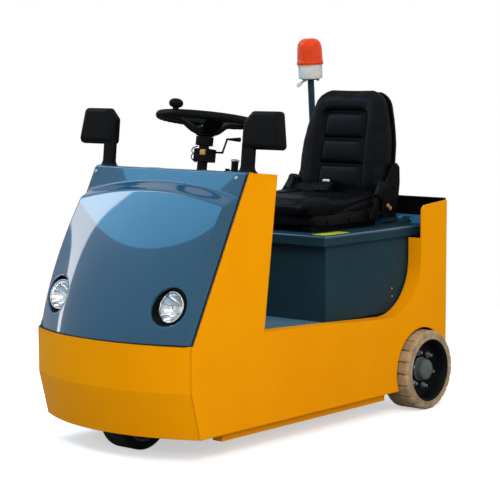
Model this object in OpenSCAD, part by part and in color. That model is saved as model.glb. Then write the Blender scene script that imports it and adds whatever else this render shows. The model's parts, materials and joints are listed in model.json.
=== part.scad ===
// Seated three-wheel electric tow tractor for baggage carts.
// X points forward, Y to the driver's left, Z up. The ground is Z = 0 and the
// origin is below the middle of the overall length. A "setback" is a distance
// behind the front corners of the body.

/* [Body] */
// Length of the side panels, front corner to rear edge
body_l = 1456; // [1400:1:1600]
// Width over the side panels
body_w = 720; // [700:1:800]
// Height of the skirt's lower edge above the ground
skirt_z = 85; // [80:1:95]
// Height of the bumper's crease
crease_z = 242; // [200:1:280]
// Height of the bumper's upper edge
bumper_top_z = 398; // [380:1:420]
// How far the bumper bows out ahead of the front corners
bumper_bulge = 95; // [80:1:120]
// How far the lower band of the bumper tucks in
skirt_tuck = 36; // [25:1:45]
// Sheet thickness of the body panels
panel_t = 5; // [4:0.5:6]
// Depth of the return round the step opening
return_w = 60; // [50:1:65]
// Height of the cowl's front edge
cowl_z = 947; // [920:1:980]
// Setback of the cowl's front edge
cowl_setback = 280; // [260:1:300]
// Length of the cowl at the pillars
cowl_l = 154; // [145:1:170]
// Fall of the cowl towards the driver
cowl_drop = 16; // [10:1:20]
// Setback of the pillar's rear edge at the step
pillar_foot = 363; // [350:1:375]
// Height of the step edge at the pillar
step_front_z = 403; // [399:1:408]
// Height of the step edge where its rear curve begins
step_rear_z = 368; // [364:1:372]
// Radius of the step opening's rear lower corner
step_r = 200; // [170:1:210]
// Length of the rear tower of each side panel
tower_l = 169; // [160:1:180]
// Height of the rear towers
tower_z = 786; // [775:1:800]
// Radius of the tower's front upper corner
tower_r = 26; // [15:1:45]
// Fall of the towers' top edge towards the front
tower_fall = 14; // [0:1:25]

/* [Front shell] */
// Wall of the moulded shell
shell_t = 6; // [5:0.5:8]
// Height that the shell's dome stands proud of its flat edge band
dome_h = 24; // [15:1:30]
// Height of the flat band along the shell's top edge
shell_band = 62; // [50:1:80]
// How far the side panel's front edge lies behind the shell's edge
brow_gap = 12; // [4:1:14]
// Diameter of the lamp openings
lamp_hole_d = 130; // [120:1:135]
// Distance of a lamp's axis inside the outer face of its side panel
lamp_inset = 98; // [90:1:110]
// Height of the lamps
lamp_z = 518; // [505:1:530]
// Wall of the lamp bucket
lamp_t = 6; // [4:0.5:8]

/* [Floor and seat box] */
// Height of the floor plate's upper face
floor_z = 376; // [372:0.5:378]
// Thickness of the floor plate
floor_t = 6; // [5:0.5:8]
// Thickness of the rubber mat
mat_t = 6; // [4:0.5:8]
// Length of the seat box, its front wall to the rear edge of the body
box_l = 667; // [655:1:680]
// Gap from the outside of a side panel to the seat box
box_inset = 70; // [68:1:80]
// Sheet thickness of the seat box and lid
box_t = 4; // [3:0.5:5]
// Height of the lid's upper face
lid_z = 691; // [680:1:700]
// Depth of the lid's folded lip
lid_lip = 35; // [30:1:40]
// Lid overhang at the front
lid_over = 30; // [20:1:35]
// Lid overhang at each side
lid_side = 15; // [12:1:18]

/* [Rear wheels] */
// Tyre diameter
wheel_d = 300; // [290:1:310]
// Tyre width
wheel_w = 120; // [110:1:125]
// How far a tyre stands proud of its side panel
wheel_proud = 40; // [35:1:45]
// Distance of the rear axle ahead of the body's rear edge
wheel_to_rear = 161; // [158:1:170]
// Diameter of the rim under the tyre
rim_d = 222; // [210:1:230]
// Gap between the tyre and the wheel arch
arch_gap = 10; // [8:1:14]
// Diameter of the wheel stud circle
stud_pcd = 140; // [130:1:145]
// Number of wheel studs
stud_count = 6; // [5:1:8]

/* [Drive wheel] */
// Drive tyre diameter
drive_d = 250; // [240:1:260]
// Drive tyre width
drive_w = 100; // [90:1:104]
// Setback of the drive wheel
drive_setback = 105; // [100:1:112]
// Height of the drive plate's lower face
drive_plate_z = 300; // [290:1:310]
// Thickness of the drive plate
drive_plate_t = 12; // [10:1:16]

/* [Steering] */
// Steering wheel diameter over its rim
steer_d = 360; // [345:1:380]
// Rim thickness
steer_rim_d = 30; // [26:1:32]
// Height of the rim's centre
steer_z = 1110; // [1100:1:1125]
// Setback of the rim's centre
steer_setback = 480; // [470:1:490]
// Lean of the column towards the driver
steer_lean = 9; // [6:1:12]
// Depth of the hub below the rim plane
steer_dish = 42; // [38:1:50]
// Outer diameter of the column tube
column_d = 36; // [32:1:44]

/* [Seat] */
// Width of the seat
seat_w = 440; // [420:1:460]
// Distance of the cushion's front edge behind the seat box's front wall
seat_inset = 49; // [40:1:60]
// Length of the cushion
seat_l = 392; // [380:1:405]
// Height of the cushion's lower face above the lid
seat_rise = 44; // [40:1:50]
// Thickness of the cushion
cushion_t = 88; // [80:1:95]
// Height of the backrest along its slope
back_h = 458; // [440:1:475]
// Thickness of the backrest
back_t = 80; // [74:1:90]
// Lean of the backrest
back_lean = 10; // [6:1:12]

/* [Mirrors and beacon] */
// Width of a mirror head
mirror_w = 176; // [165:1:190]
// Height of a mirror head
mirror_h = 128; // [120:1:140]
// Distance of the mirror arm's inner edge inside the outer face of its side panel
mirror_inset = 62; // [62:1:70]
// Height of a mirror head's lower edge above the cowl
mirror_rise = 78; // [65:1:90]
// Diameter of the beacon dome's foot
beacon_d = 107; // [98:1:115]
// Height of the beacon dome
dome_top = 104; // [95:1:112]
// Height of the beacon's base
beacon_base_h = 57; // [50:1:70]
// Height of the beacon pole's upper end
pole_z = 1246; // [1210:1:1270]
// Diameter of the beacon pole
pole_d = 26; // [20:1:27]
// Distance of the pole inside the outer face of the right side panel
pole_inset = 108; // [98:1:108]
// Forward lean of the pole
pole_lean = 4; // [3:0.1:6]

/* [Tow coupling] */
// Reach of the coupling behind the side panels
hitch_reach = 119; // [110:1:130]
// Height of the coupling's centre
hitch_z = 285; // [270:1:300]
// Clear height of the coupling's mouth
jaw_gap = 60; // [50:1:70]
// Diameter of the coupling pin
pin_d = 25; // [20:1:28]
// Sideways spacing of the free upper bolt holes
bolt_dy = 130; // [110:1:140]
// Height spacing of the free upper bolt holes
bolt_dz = 80; // [60:1:90]
// Diameter of the bolt holes
bolt_d = 17; // [14:0.5:18]

/* [Hidden] */
$fn = 64;

// Play between parts that turn on each other, on the radius
run_gap = 0.05;
// Air gap left between neighbours that do not touch
air = 0.5;

// Length of a cut that passes right through the vehicle
reach = 2 * body_l;

half_w = body_w / 2;
box_setback = body_l - box_l;
box_w = body_w - 2 * box_inset;
wheel_setback = body_l - wheel_to_rear;
lamp_y = half_w - lamp_inset;
seat_setback = box_setback + seat_inset;
mirror_y = half_w - mirror_inset;
pole_y = half_w - pole_inset;
inner_w = body_w - 2 * panel_t;
half_in = inner_w / 2;
// The front corners, placed so that the overall length is centred on the origin
x_front = (body_l + hitch_reach - bumper_bulge) / 2;
function sx(setback) = x_front - setback;

// The bumper is a surface of revolution about a vertical line
bumper_r = (half_w * half_w + bumper_bulge * bumper_bulge) / (2 * bumper_bulge);
bumper_cx = x_front + bumper_bulge - bumper_r;
function bumper_x(r, y) = bumper_cx + sqrt(r * r - y * y);
bumper_lip = 30;

// Side panel lines, each a height as a function of the setback or the reverse
pillar_top = cowl_setback + cowl_l;
pillar_top_z = cowl_z - cowl_drop;
cowl_slope = atan(cowl_drop / cowl_l);
function cowl_height(s) = cowl_z - cowl_drop * (s - cowl_setback) / cowl_l;
function pillar_edge(z) = pillar_foot + (pillar_top - pillar_foot) * (z - step_front_z)
    / (pillar_top_z - step_front_z);
function brow(z) = cowl_setback * (z - bumper_top_z) / (cowl_z - bumper_top_z);
tower_setback = body_l - tower_l;
step_centre = tower_setback - step_r;
step_slope = (step_front_z - step_rear_z) / (step_centre - pillar_foot);
function step_height(s) = step_front_z - step_slope * (s - pillar_foot);
step_centre_z = step_height(step_centre) + step_r * sqrt(1 + step_slope * step_slope);

arch_r = wheel_d / 2 + arch_gap;
arch_rear_z = wheel_d / 2 + 40;
wheel_outer_y = half_w + wheel_proud;
wheel_inner_y = wheel_outer_y - wheel_w;
wheel_z = wheel_d / 2;

lid_top_t = box_t;
lid_under = lid_z - lid_top_t;
lid_half = box_w / 2 + lid_side;
lid_front = box_setback - lid_over;
rail_t = 15;
rail_half = box_w / 2 - box_t - 1;
rear_in = body_l - panel_t;
rail_front = rear_in - rail_t;
hinge_setback = rail_front - 12;
hinge_z = lid_z + 15;
hinge_r = 6;
knuckle_r = 10;
lid_rear = hinge_setback - 14;

belly_z = 58;
belly_t = 6;
web_setback = 262;
web_t = 8;
sill_half = half_w - 20;
tub_half = box_w / 2 - 45;
tub_front = box_setback + 26;
tub_z = 190;
tub_t = 6;
wall_split_z = 560;
wall_top_z = tower_z + 7;

// Extrudes a side-view outline, drawn as X and Z, between two values of Y
module side_view(y0, y1) {
    translate([0, y1, 0]) rotate([90, 0, 0]) linear_extrude(y1 - y0) children();
}

// Extrudes a rear-view outline, drawn as Y and Z, between two setbacks
module rear_view(s0, s1) {
    translate([sx(s1), 0, 0]) rotate([90, 0, 90]) linear_extrude(s1 - s0) children();
}

// A block given by setbacks, sides and heights
module block(s0, s1, y0, y1, z0, z1) {
    translate([sx(s1), y0, z0]) cube([s1 - s0, y1 - y0, z1 - z0]);
}

// A rectangle with true round corners, centred
module rounded(w, h, r) {
    square([w - 2 * r, h], center = true);
    square([w, h - 2 * r], center = true);
    for (x = [-1, 1], y = [-1, 1]) translate([x * (w / 2 - r), y * (h / 2 - r)]) circle(r);
}

// Both sides of the vehicle, the left one drawn
module both_sides() {
    children();
    mirror([0, 1, 0]) children();
}

// Step opening in side view, let out by g all round; it is open at the top
module step_opening(g) {
    lift = 600;
    foot_z = step_height(pillar_foot - g) - g;
    polygon([
        [sx(pillar_edge(foot_z) - g), foot_z],
        [sx(pillar_edge(cowl_z + lift) - g), cowl_z + lift],
        [sx(tower_setback + g), cowl_z + lift],
        [sx(tower_setback + g), step_centre_z],
        [sx(step_centre), step_centre_z],
        [sx(step_centre), step_height(step_centre) - g]]);
    translate([sx(step_centre), step_centre_z]) circle(step_r + g, $fn = 128);
}

// Outline of a side panel before the step opening and the arch are cut
module panel_outline() {
    foot = x_front - bumper_x(bumper_r - skirt_tuck, half_in);
    nose = x_front - bumper_x(bumper_r, half_in);
    polygon([
        [sx(foot), skirt_z], [sx(nose), crease_z], [sx(nose), bumper_top_z], [sx(nose + brow_gap),
            bumper_top_z],
        [sx(cowl_setback + brow_gap), cowl_height(cowl_setback + brow_gap)], [sx(pillar_top), pillar_top_z],
        [sx(body_l), pillar_top_z], [sx(body_l), skirt_z]]);
}

// The tower's top edge falls towards the front and runs into its corner's arc
tower_slope = atan(tower_fall / tower_l);
tower_arc_x = sx(tower_setback + tower_r);
tower_arc_z = tower_z - tower_r * cos(tower_slope)
    - (tower_l - tower_r + tower_r * sin(tower_slope)) * tan(tower_slope);

module tower_cut() {
    // Everything above the tower
    meet = [tower_arc_x + tower_r * sin(tower_slope), tower_arc_z + tower_r * cos(tower_slope)];
    over = 60;
    difference() {
        translate([sx(body_l + over / 2), tower_arc_z]) square([tower_l + over, 400]);
        polygon([[sx(body_l + over), 0], [sx(body_l + over), tower_z + over * tan(tower_slope)], meet,
            [meet[0], 0]]);
        translate([tower_arc_x, tower_arc_z]) circle(tower_r);
    }
}

module side_panel() {
    color("orange") {
        side_view(half_in, half_w) difference() {
            panel_outline();
            step_opening(0);
            tower_cut();
            translate([sx(wheel_setback), wheel_z]) circle(arch_r, $fn = 128);
            translate([sx(body_l + 50), 0]) square([body_l + 50 - wheel_setback, arch_rear_z]);
        }
        // The return runs down the pillar, along the step and up to the lid
        side_view(half_w - return_w, half_in) intersection() {
            difference() {
                step_opening(panel_t);
                step_opening(0);
            }
            union() {
                translate([sx(body_l), 0]) square([body_l - step_centre, lid_z - lid_lip - 6]);
                translate([sx(step_centre + 1), 0]) square([step_centre + 1, pillar_top_z - 10]);
            }
        }
    }
}

module side_panel_left() { side_panel(); }

module side_panel_right() { mirror([0, 1, 0]) side_panel(); }

module front_bumper() {
    low = bumper_r - skirt_tuck;
    color("orange") intersection() {
        translate([bumper_cx, 0, 0]) rotate([0, 0, -45]) rotate_extrude(angle = 90, $fn = 128) polygon([
            [low - panel_t, skirt_z], [low, skirt_z], [bumper_r, crease_z], [bumper_r, bumper_top_z],
            [bumper_r - bumper_lip, bumper_top_z], [bumper_r - bumper_lip, bumper_top_z - panel_t],
            [bumper_r - panel_t, bumper_top_z - panel_t], [bumper_r - panel_t, crease_z]]);
        translate([sx(cowl_setback), -half_in, 0]) cube([cowl_setback + 2 * bumper_bulge, inner_w, cowl_z]);
    }
}

// Moulded front shell: a dome that swells from a flat edge band
shell_half = half_in - air;
// Depth that the shell's side edges turn back by
shell_lip = 14;
shell_cols = 40;
shell_rows = 26;
function smooth(a, b, t) = let (k = min(1, max(0, (t - a) / (b - a)))) k * k * (3 - 2 * k);
// Share of the height at which the dome meets the flat band, lower towards the sides
function dome_edge(u) = 1 - shell_band / (cowl_z - bumper_top_z) - 0.08 * u * u;
function dome_rise(u, v) = smooth(0.05, 0.12, 1 - abs(u)) * smooth(0, 0.09, dome_edge(u) + 0.06 - v) *
    smooth(0, 0.2, v);
function bow(y) = sqrt(bumper_r * bumper_r - y * y) - sqrt(bumper_r * bumper_r - half_w * half_w);
function shell_point(u, v, inset) = let (
        y = u * shell_half,
        z = bumper_top_z + v * (cowl_z - bumper_top_z),
        fade = 1 - smooth(0, 1, v / (dome_edge(u) + 0.04)),
        x = x_front - cowl_setback * v + bow(y) * (0.35 * fade + 0.65 * (1 - v)) * (v < 1 ? 1 : 0)
            + dome_h * dome_rise(u, v))
    [x - inset, y, z];

module shell_skin() {
    across = shell_cols + 1;
    sheet = across * (shell_rows + 1);
    us = [for (i = [0 : shell_cols]) sin(90 * (2 * i / shell_cols - 1)) * 0.35 + 0.65 * (2 *
        i / shell_cols - 1)];
    points = [for (back = [0, 1], j = [0 : shell_rows], u = us)
        let (v = j / shell_rows, lip = shell_lip * smooth(0.96, 1, abs(u)) * smooth(0, 0.08, 1 - v))
        shell_point(u, v, 1 + back * (shell_t + lip))];
    front = [for (j = [0 : shell_rows - 1], i = [0 : shell_cols - 1]) let (a = j * across + i)
        each [[a, a + across, a + 1], [a + 1, a + across, a + across + 1]]];
    back = [for (f = front) [f[0] + sheet, f[2] + sheet, f[1] + sheet]];
    sides = [for (j = [0 : shell_rows - 1], e = [0, shell_cols]) let (a = j * across + e, b = a + across)
        each e == 0 ? [[a, a + sheet, b], [b, a + sheet, b + sheet]] : [[a, b, a + sheet], [b, b + sheet,
            a + sheet]]];
    ends = [for (i = [0 : shell_cols - 1], j = [0, shell_rows]) let (a = j * across + i, b = a + 1)
        each j == 0 ? [[a, b, a + sheet], [b, b + sheet, a + sheet]] : [[a, a + sheet, b], [b, a + sheet,
            b + sheet]]];
    polyhedron(points, concat(front, back, sides, ends));
}

module front_shell() {
    color("steelblue") difference() {
        shell_skin();
        both_sides() translate([sx(200), lamp_y, lamp_z]) rotate([0, 90, 0])
            cylinder(d = lamp_hole_d, h = reach);
    }
}

// Cowl plate between the pillars, with a tongue that carries the steering column
cowl_t = 5;
tongue_half = 150;
// Length of the tongue behind the column's axis
tongue_l = 73;
console_low_z = 600;
function column_setback(z) = steer_setback - (steer_z - z) * tan(steer_lean);

module along_column() {
    translate([sx(steer_setback), 0, steer_z]) rotate([0, -steer_lean, 0]) children();
}

module cowl() {
    tail = column_setback(pillar_top_z) + tongue_l;
    color("dimgray") difference() {
        union() {
            side_view(-half_in, half_in) polygon([
                [sx(cowl_setback + shell_t + 2), cowl_height(cowl_setback + shell_t + 2)],
                [sx(pillar_top), pillar_top_z], [sx(pillar_top), pillar_top_z - cowl_t],
                [sx(cowl_setback + shell_t + 2), cowl_height(cowl_setback + shell_t + 2) - cowl_t]]);
            // Tongue and its tapered console below
            side_view(-tongue_half, tongue_half) polygon([
                [sx(pillar_top), pillar_top_z], [sx(tail), cowl_height(tail)], [sx(tail),
                    cowl_height(tail) - 55],
                [sx(pillar_edge(console_low_z)), console_low_z], [sx(pillar_edge(console_low_z) - 6),
                    console_low_z],
                [sx(pillar_top - 6), pillar_top_z - cowl_t]]);
        }
        along_column() translate([0, 0, -reach]) cylinder(d = column_d + 2 * air, h = reach);
    }
}

// Bulkhead behind the drive unit: upright below the cowl, then a sloping toe board
bulkhead_t = 4;
toe_top_z = 640;
toe_foot = web_setback + 6;

module bulkhead() {
    gap = 12 + panel_t;
    top_z = cowl_height(pillar_top - gap) - cowl_t - 1;
    color("dimgray") difference() {
        side_view(-half_in, half_in) polygon([
            [sx(pillar_edge(top_z) - gap), top_z], [sx(pillar_edge(toe_top_z) - gap), toe_top_z],
            [sx(toe_foot), floor_z], [sx(toe_foot - bulkhead_t * 1.1), floor_z],
            [sx(pillar_edge(toe_top_z) - gap - bulkhead_t), toe_top_z],
            [sx(pillar_edge(top_z) - gap - bulkhead_t), top_z]]);
        along_column() translate([0, 0, -reach]) cylinder(d = column_d + 4 * air, h = reach);
    }
}

// Toe board line, as a setback at a height
function toe_line(z) = toe_foot + (pillar_edge(toe_top_z) - 12 - panel_t - toe_foot) * (z - floor_z)
    / (toe_top_z - floor_z);

module floor_plate() {
    narrow = half_w - return_w - 3;
    color("dimgray") difference() {
        union() {
            block(web_setback, box_setback + 8, -half_in, half_in, floor_z - floor_t, floor_z);
            block(box_setback, rear_in, -narrow, narrow, floor_z - floor_t, floor_z);
        }
        block(tub_front + tub_t, rail_front - 30, -(tub_half - tub_t), tub_half - tub_t, 0, floor_z + 1);
    }
}

module floor_mat() {
    rib = 3;
    pitch = 24;
    half = half_w - return_w - 2;
    s0 = toe_foot + 8;
    s1 = box_setback - 2;
    color("slategray") {
        block(s0, s1, -half, half, floor_z, floor_z + mat_t - rib);
        for (y = [-half + pitch / 2 : pitch : half - pitch / 2])
            block(s0 + 10, s1 - 10, y - pitch / 4, y + pitch / 4, floor_z + mat_t - rib, floor_z + mat_t);
    }
}

// One pedal: a plate on an arm from the toe board
module pedal(y, w, z, reach) {
    s = toe_line(z) + reach;
    side_view(y - 6, y + 6) polygon([
        [sx(toe_line(z + 10)), z + 10], [sx(s + 4), z + 10], [sx(s + 4), z - 10], [sx(toe_line(z - 10)),
            z - 10]]);
    side_view(y - w / 2, y + w / 2) polygon([
        [sx(s - 14), z - 42], [sx(s + 24), z + 40], [sx(s + 32), z + 36], [sx(s - 6), z - 46]]);
}

pedal_z = floor_z + 94;
pedal_reach = 34;

module pedals() {
    color("black") {
        pedal(-0.42 * half_w, 70, pedal_z, pedal_reach);
        pedal(0.06 * half_w, 90, pedal_z, pedal_reach);
    }
}

module battery_box() {
    half = box_w / 2;
    color("darkslategray") {
        block(box_setback, box_setback + box_t, -half, half, floor_z, lid_under);
        both_sides() block(box_setback + box_t, rear_in, half - box_t, half, floor_z, lid_under);
    }
}

module battery() {
    gap = 6;
    color("dimgray") block(tub_front + tub_t + gap, rail_front - 30 - gap, -(tub_half - tub_t - gap),
        tub_half - tub_t - gap, tub_z + tub_t, lid_under - 40);
}

module rear_wall() {
    fold = 14;
    color("black") {
        block(rear_in, body_l, -half_in, half_in, wall_split_z, wall_top_z);
        block(rear_in - fold, rear_in, -half_in, half_in, wall_top_z - panel_t, wall_top_z);
    }
}

module rear_panel() {
    shoulder_z = wheel_d + 30;
    low_half = wheel_inner_y - 20;
    foot_z = 160;
    color("orange") rear_view(rear_in, body_l) difference() {
        polygon([
            [-half_in, wall_split_z], [half_in, wall_split_z], [half_in, shoulder_z], [low_half, shoulder_z],
            [low_half, foot_z], [-low_half, foot_z], [-low_half, shoulder_z], [-half_in, shoulder_z]]);
        free_holes();
    }
}

// Rail across the rear wall with lugs that hold the lid's hinge pin
lug_y = rail_half - 115;
hinge_lugs = [-lug_y, lug_y];
lug_w = 24;

module hinge_rail() {
    color("steelblue") {
        block(rail_front, rear_in, -rail_half, rail_half, lid_z - 70, lid_z + 30);
        for (y = hinge_lugs) side_view(y - lug_w / 2, y + lug_w / 2) difference() {
            union() {
                translate([sx(hinge_setback), hinge_z]) circle(knuckle_r);
                translate([sx(rail_front + 1), hinge_z - knuckle_r])
                    square([rail_front + 1 - hinge_setback, 2 * knuckle_r]);
            }
            translate([sx(hinge_setback), hinge_z]) circle(hinge_r);
        }
        for (y = hinge_lugs) translate([sx(hinge_setback), y - lug_w / 2 - 34, hinge_z]) rotate([-90, 0, 0])
            cylinder(r = hinge_r, h = lug_w + 68);
    }
}

// Plate for the tow coupling, with a free set of holes above it that run through the rear panel
plate_t = 14;
plate_half = 95;
plate_low_z = 190;
free_bolts_z = hitch_z + 145;

module hitch_plate() {
    top_z = free_bolts_z + bolt_dz / 2 + 35;
    color("black") translate([sx(body_l + plate_t), 0, 0]) rotate([90, 0, 90]) linear_extrude(plate_t)
        difference() {
        translate([0, (plate_low_z + top_z) / 2]) rounded(2 * plate_half, top_z - plate_low_z, 18);
        free_holes();
    }
}

module free_holes() {
    for (y = [-1, 1], z = [-1, 1]) translate([y * bolt_dy / 2, free_bolts_z + z * bolt_dz / 2])
        circle(d = bolt_d);
}

jaw_t = 16;
jaw_half = 45;
jaw_base_t = 14;
pin_setback = body_l + hitch_reach - jaw_half;

// Jaw plate in plan: a tongue with a round end about the pin
module jaw_plan() {
    difference() {
        union() {
            translate([sx(pin_setback), 0]) circle(jaw_half);
            translate([sx(pin_setback), -jaw_half]) square([pin_setback - body_l - plate_t, 2 * jaw_half]);
        }
        translate([sx(pin_setback), 0]) circle(d = pin_d + 2 * run_gap);
    }
}

module tow_jaw() {
    color("black") {
        for (z = [hitch_z - jaw_gap / 2 - jaw_t, hitch_z + jaw_gap / 2])
            translate([0, 0, z]) linear_extrude(jaw_t) jaw_plan();
        rear_view(body_l + plate_t, body_l + plate_t + jaw_base_t)
            translate([0, hitch_z]) rounded(150, jaw_gap + 2 * jaw_t + 26, 14);
    }
}

module tow_pin() {
    low = hitch_z - jaw_gap / 2 - jaw_t - 18;
    top = hitch_z + jaw_gap / 2 + jaw_t;
    color("silver") translate([sx(pin_setback), 0, 0]) {
        translate([0, 0, low]) cylinder(d = pin_d, h = top - low);
        translate([0, 0, top]) cylinder(d = pin_d + 14, h = 8);
        translate([0, 0, top + 8]) cylinder(d = 14, h = 30);
        translate([0, 0, top + 46]) rotate([90, 0, 0]) rotate_extrude() translate([18, 0]) circle(5,
            $fn = 32);
    }
}

// Rear axle: a beam under the battery tub and a stub shaft for each wheel
axle_half = tub_half - 13;
stub_r = 20;
hub_end_y = wheel_outer_y - 38;

module rear_axle() {
    color("black") {
        block(wheel_setback - 30, wheel_setback + 30, -axle_half, axle_half, wheel_z - 30, wheel_z + 30);
        both_sides() {
            translate([sx(wheel_setback), axle_half, wheel_z]) rotate([-90, 0, 0])
                cylinder(r = stub_r, h = hub_end_y - axle_half);
            translate([sx(wheel_setback), axle_half, wheel_z]) rotate([-90, 0, 0])
                cylinder(r = 38, h = wheel_inner_y - 8 - axle_half);
            block(wheel_setback - 45, wheel_setback + 45, tub_half - 95, tub_half - 35, wheel_z + 29, tub_z);
        }
    }
}

// Welded frame: belly plate, sills, front web and the tub that holds the battery
module chassis_frame() {
    sill_l0 = 166;
    sill_l1 = wheel_setback - 212;
    sill_h = 62;
    color("orange") {
        block(web_setback, sill_l1, -sill_half, sill_half, belly_z, belly_z + belly_t);
        both_sides() {
            block(sill_l0, sill_l1, sill_half - 40, sill_half, belly_z, belly_z + sill_h);
            for (s = [sill_l0 + 30, (sill_l0 + sill_l1) / 2 - 30, sill_l1 - 90])
                block(s, s + 60, sill_half - 1, half_in, skirt_z + 6, belly_z + sill_h);
            block(tub_front, rear_in, tub_half - tub_t, tub_half, tub_z, floor_z - floor_t);
            block(tub_front, sill_l1, tub_half - tub_t, tub_half, belly_z + belly_t, tub_z);
        }
        block(web_setback, web_setback + web_t, -(sill_half - 40), sill_half - 40, belly_z + belly_t,
            floor_z - floor_t);
        block(tub_front, tub_front + tub_t, -tub_half, tub_half, belly_z + belly_t, floor_z - floor_t);
        block(tub_front, rear_in, -tub_half, tub_half, tub_z, tub_z + tub_t);
        block(rail_front - 30, rail_front - 24, -tub_half, tub_half, tub_z, floor_z - floor_t);
    }
}

// Drive plate under the shell, with the bearing hole of the drive unit
spindle_r = 60;

module drive_plate() {
    nose = drive_setback - 150;
    nose_cut = half_w / 4;
    color("dimgray") difference() {
        block(nose, web_setback, -half_in + 12, half_in - 12, drive_plate_z, drive_plate_z + drive_plate_t);
        translate([sx(drive_setback), 0, 0]) cylinder(r = spindle_r + run_gap, h = reach);
        both_sides() translate([sx(nose), half_in, 0]) rotate([0, 0, 45])
            translate([-nose_cut, -nose_cut, 0]) cube([2 * nose_cut, 2 * nose_cut, reach]);
    }
}

module drive_motor() {
    color("dimgray") translate([sx(drive_setback), 0, drive_plate_z + drive_plate_t]) {
        cylinder(r = spindle_r + 25, h = 190);
        translate([0, 0, 190]) cylinder(r = spindle_r + 5, h = 40);
    }
}

// Drive unit: spindle, turntable and the two cheeks of the wheel fork
cheek_gap = 8;
cheek_t = 14;
drive_axle_r = 15;

module drive_unit() {
    y_in = drive_w / 2 + cheek_gap;
    color("gray") translate([sx(drive_setback), 0, 0]) {
        translate([0, 0, drive_plate_z - 0.5]) cylinder(r = spindle_r, h = drive_plate_t);
        translate([0, 0, drive_plate_z - 24]) cylinder(r = y_in + cheek_t + 14, h = 23.5);
        both_sides() translate([0, y_in + cheek_t, 0]) rotate([90, 0, 0]) linear_extrude(cheek_t) {
            translate([0, drive_d / 2]) circle(46);
            translate([-46, drive_d / 2]) square([92, drive_plate_z - 12 - drive_d / 2]);
        }
        translate([0, -y_in - 1, drive_d / 2]) rotate([-90, 0, 0]) cylinder(r = drive_axle_r, h = 2 *
            y_in + 2);
        translate([0, y_in + cheek_t - 1, drive_d / 2]) rotate([-90, 0, 0]) cylinder(r = 40, h = 22);
    }
}

// Turns a profile, drawn as radius and Y, about a wheel axis
module spin_y(setback, z) {
    translate([sx(setback), 0, z]) rotate([-90, 0, 0]) rotate_extrude($fn = 128) children();
}

module drive_rim() {
    half = drive_w / 2;
    color("silver") spin_y(drive_setback, drive_d / 2) polygon([
        [drive_axle_r + run_gap, -half + 2], [38, -half + 2], [42, -14], [drive_d / 2 - 40, -14],
        [drive_d / 2 - 38, -half], [drive_d / 2 - 30, -half], [drive_d / 2 - 30, half],
        [drive_d / 2 - 38, half], [drive_d / 2 - 40, 14], [42, 14], [38, half - 2],
            [drive_axle_r + run_gap, half - 2]]);
}

// Solid tyre section with rounded shoulders
module tyre_section(r_in, r_out, w, r_shoulder) {
    translate([r_in, -w / 2]) square([r_out - r_in - r_shoulder, w]);
    translate([r_in, -w / 2 + r_shoulder]) square([r_out - r_in, w - 2 * r_shoulder]);
    for (y = [-1, 1]) translate([r_out - r_shoulder, y * (w / 2 - r_shoulder)]) circle(r_shoulder, $fn = 48);
}

module drive_tyre() {
    color("black") spin_y(drive_setback, drive_d / 2) tyre_section(drive_d / 2 - 30, drive_d / 2, drive_w, 8);
}

// Rear wheel, drawn on the left: a barrel, a recessed disc, a hub and its nuts
module rear_rim() {
    mid = wheel_outer_y - wheel_w / 2;
    lip = wheel_w / 2 - 4;
    disc = wheel_w / 2 - 46;
    hub = wheel_w / 2 - 20;
    rim_r = rim_d / 2;
    color("black") translate([0, mid, 0]) {
        spin_y(wheel_setback, wheel_z) polygon([
            [stub_r + run_gap, -lip + 14], [52, -lip + 14], [54, disc - 10], [rim_r - 14, disc - 10],
            [rim_r - 12, -lip], [rim_r, -lip], [rim_r, lip], [rim_r - 9, lip], [rim_r - 14, disc + 14],
            [rim_r - 24, disc], [48, disc], [46, hub], [stub_r + run_gap, hub]]);
        // Hub cap
        spin_y(wheel_setback, wheel_z) polygon([[0, hub], [42, hub], [42, hub + 8], [30, hub + 15], [0,
            hub + 16]]);
        for (i = [0 : stud_count - 1]) translate([sx(wheel_setback), 0, wheel_z]) rotate([0, i *
            360 / stud_count + 15, 0])
            translate([stud_pcd / 2, disc - 1, 0]) rotate([-90, 0, 0]) cylinder(r = 11, h = 15, $fn = 6);
    }
}

module rear_tyre() {
    color("tan") translate([0, wheel_outer_y - wheel_w / 2, 0])
        spin_y(wheel_setback, wheel_z) tyre_section(rim_d / 2, wheel_d / 2, wheel_w, 8);
}

module rear_rim_left() { rear_rim(); }
module rear_rim_right() { mirror([0, 1, 0]) rear_rim(); }
module rear_tyre_left() { rear_tyre(); }
module rear_tyre_right() { mirror([0, 1, 0]) rear_tyre(); }

// Steering column: outer tube from the bulkhead to the hub
shaft_r = 10;
hub_r = 34;
hub_h = 34;
column_gap = 3;

module steering_column() {
    top = -steer_dish - hub_h / 2 - column_gap;
    foot = -(steer_z - console_low_z - 40) / cos(steer_lean);
    color("dimgray") along_column() difference() {
        union() {
            translate([0, 0, foot]) cylinder(d = column_d, h = top - foot - 30);
            translate([0, 0, top - 30]) cylinder(d = column_d + 26, h = 30);
        }
        translate([0, 0, foot - 1]) cylinder(r = shaft_r + run_gap, h = top - foot + 2);
    }
}

// Indicator switch clamped to the column, with its bent lever on the left
module column_switch() {
    low = -steer_dish - 108;
    rod = 3.5;
    rod_x = -12;
    bend_y = 78;
    color("black") along_column() {
        difference() {
            translate([-24, -24, low]) cube([48, 62, 46]);
            translate([0, 0, low - 1]) cylinder(d = column_d, h = 48);
        }
        translate([rod_x, 37, low + 36]) rotate([-90, 0, 0]) cylinder(r = rod, h = bend_y - 37);
        translate([rod_x, bend_y, low + 36]) {
            sphere(rod + 0.6);
            rotate([-18, 0, 0]) {
                cylinder(r = rod, h = 50);
                translate([0, 0, 50]) {
                    sphere(rod + 0.6);
                    rotate([-72, 0, 0]) cylinder(r1 = rod - 0.4, r2 = 8, h = 58);
                }
            }
        }
    }
}

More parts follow.
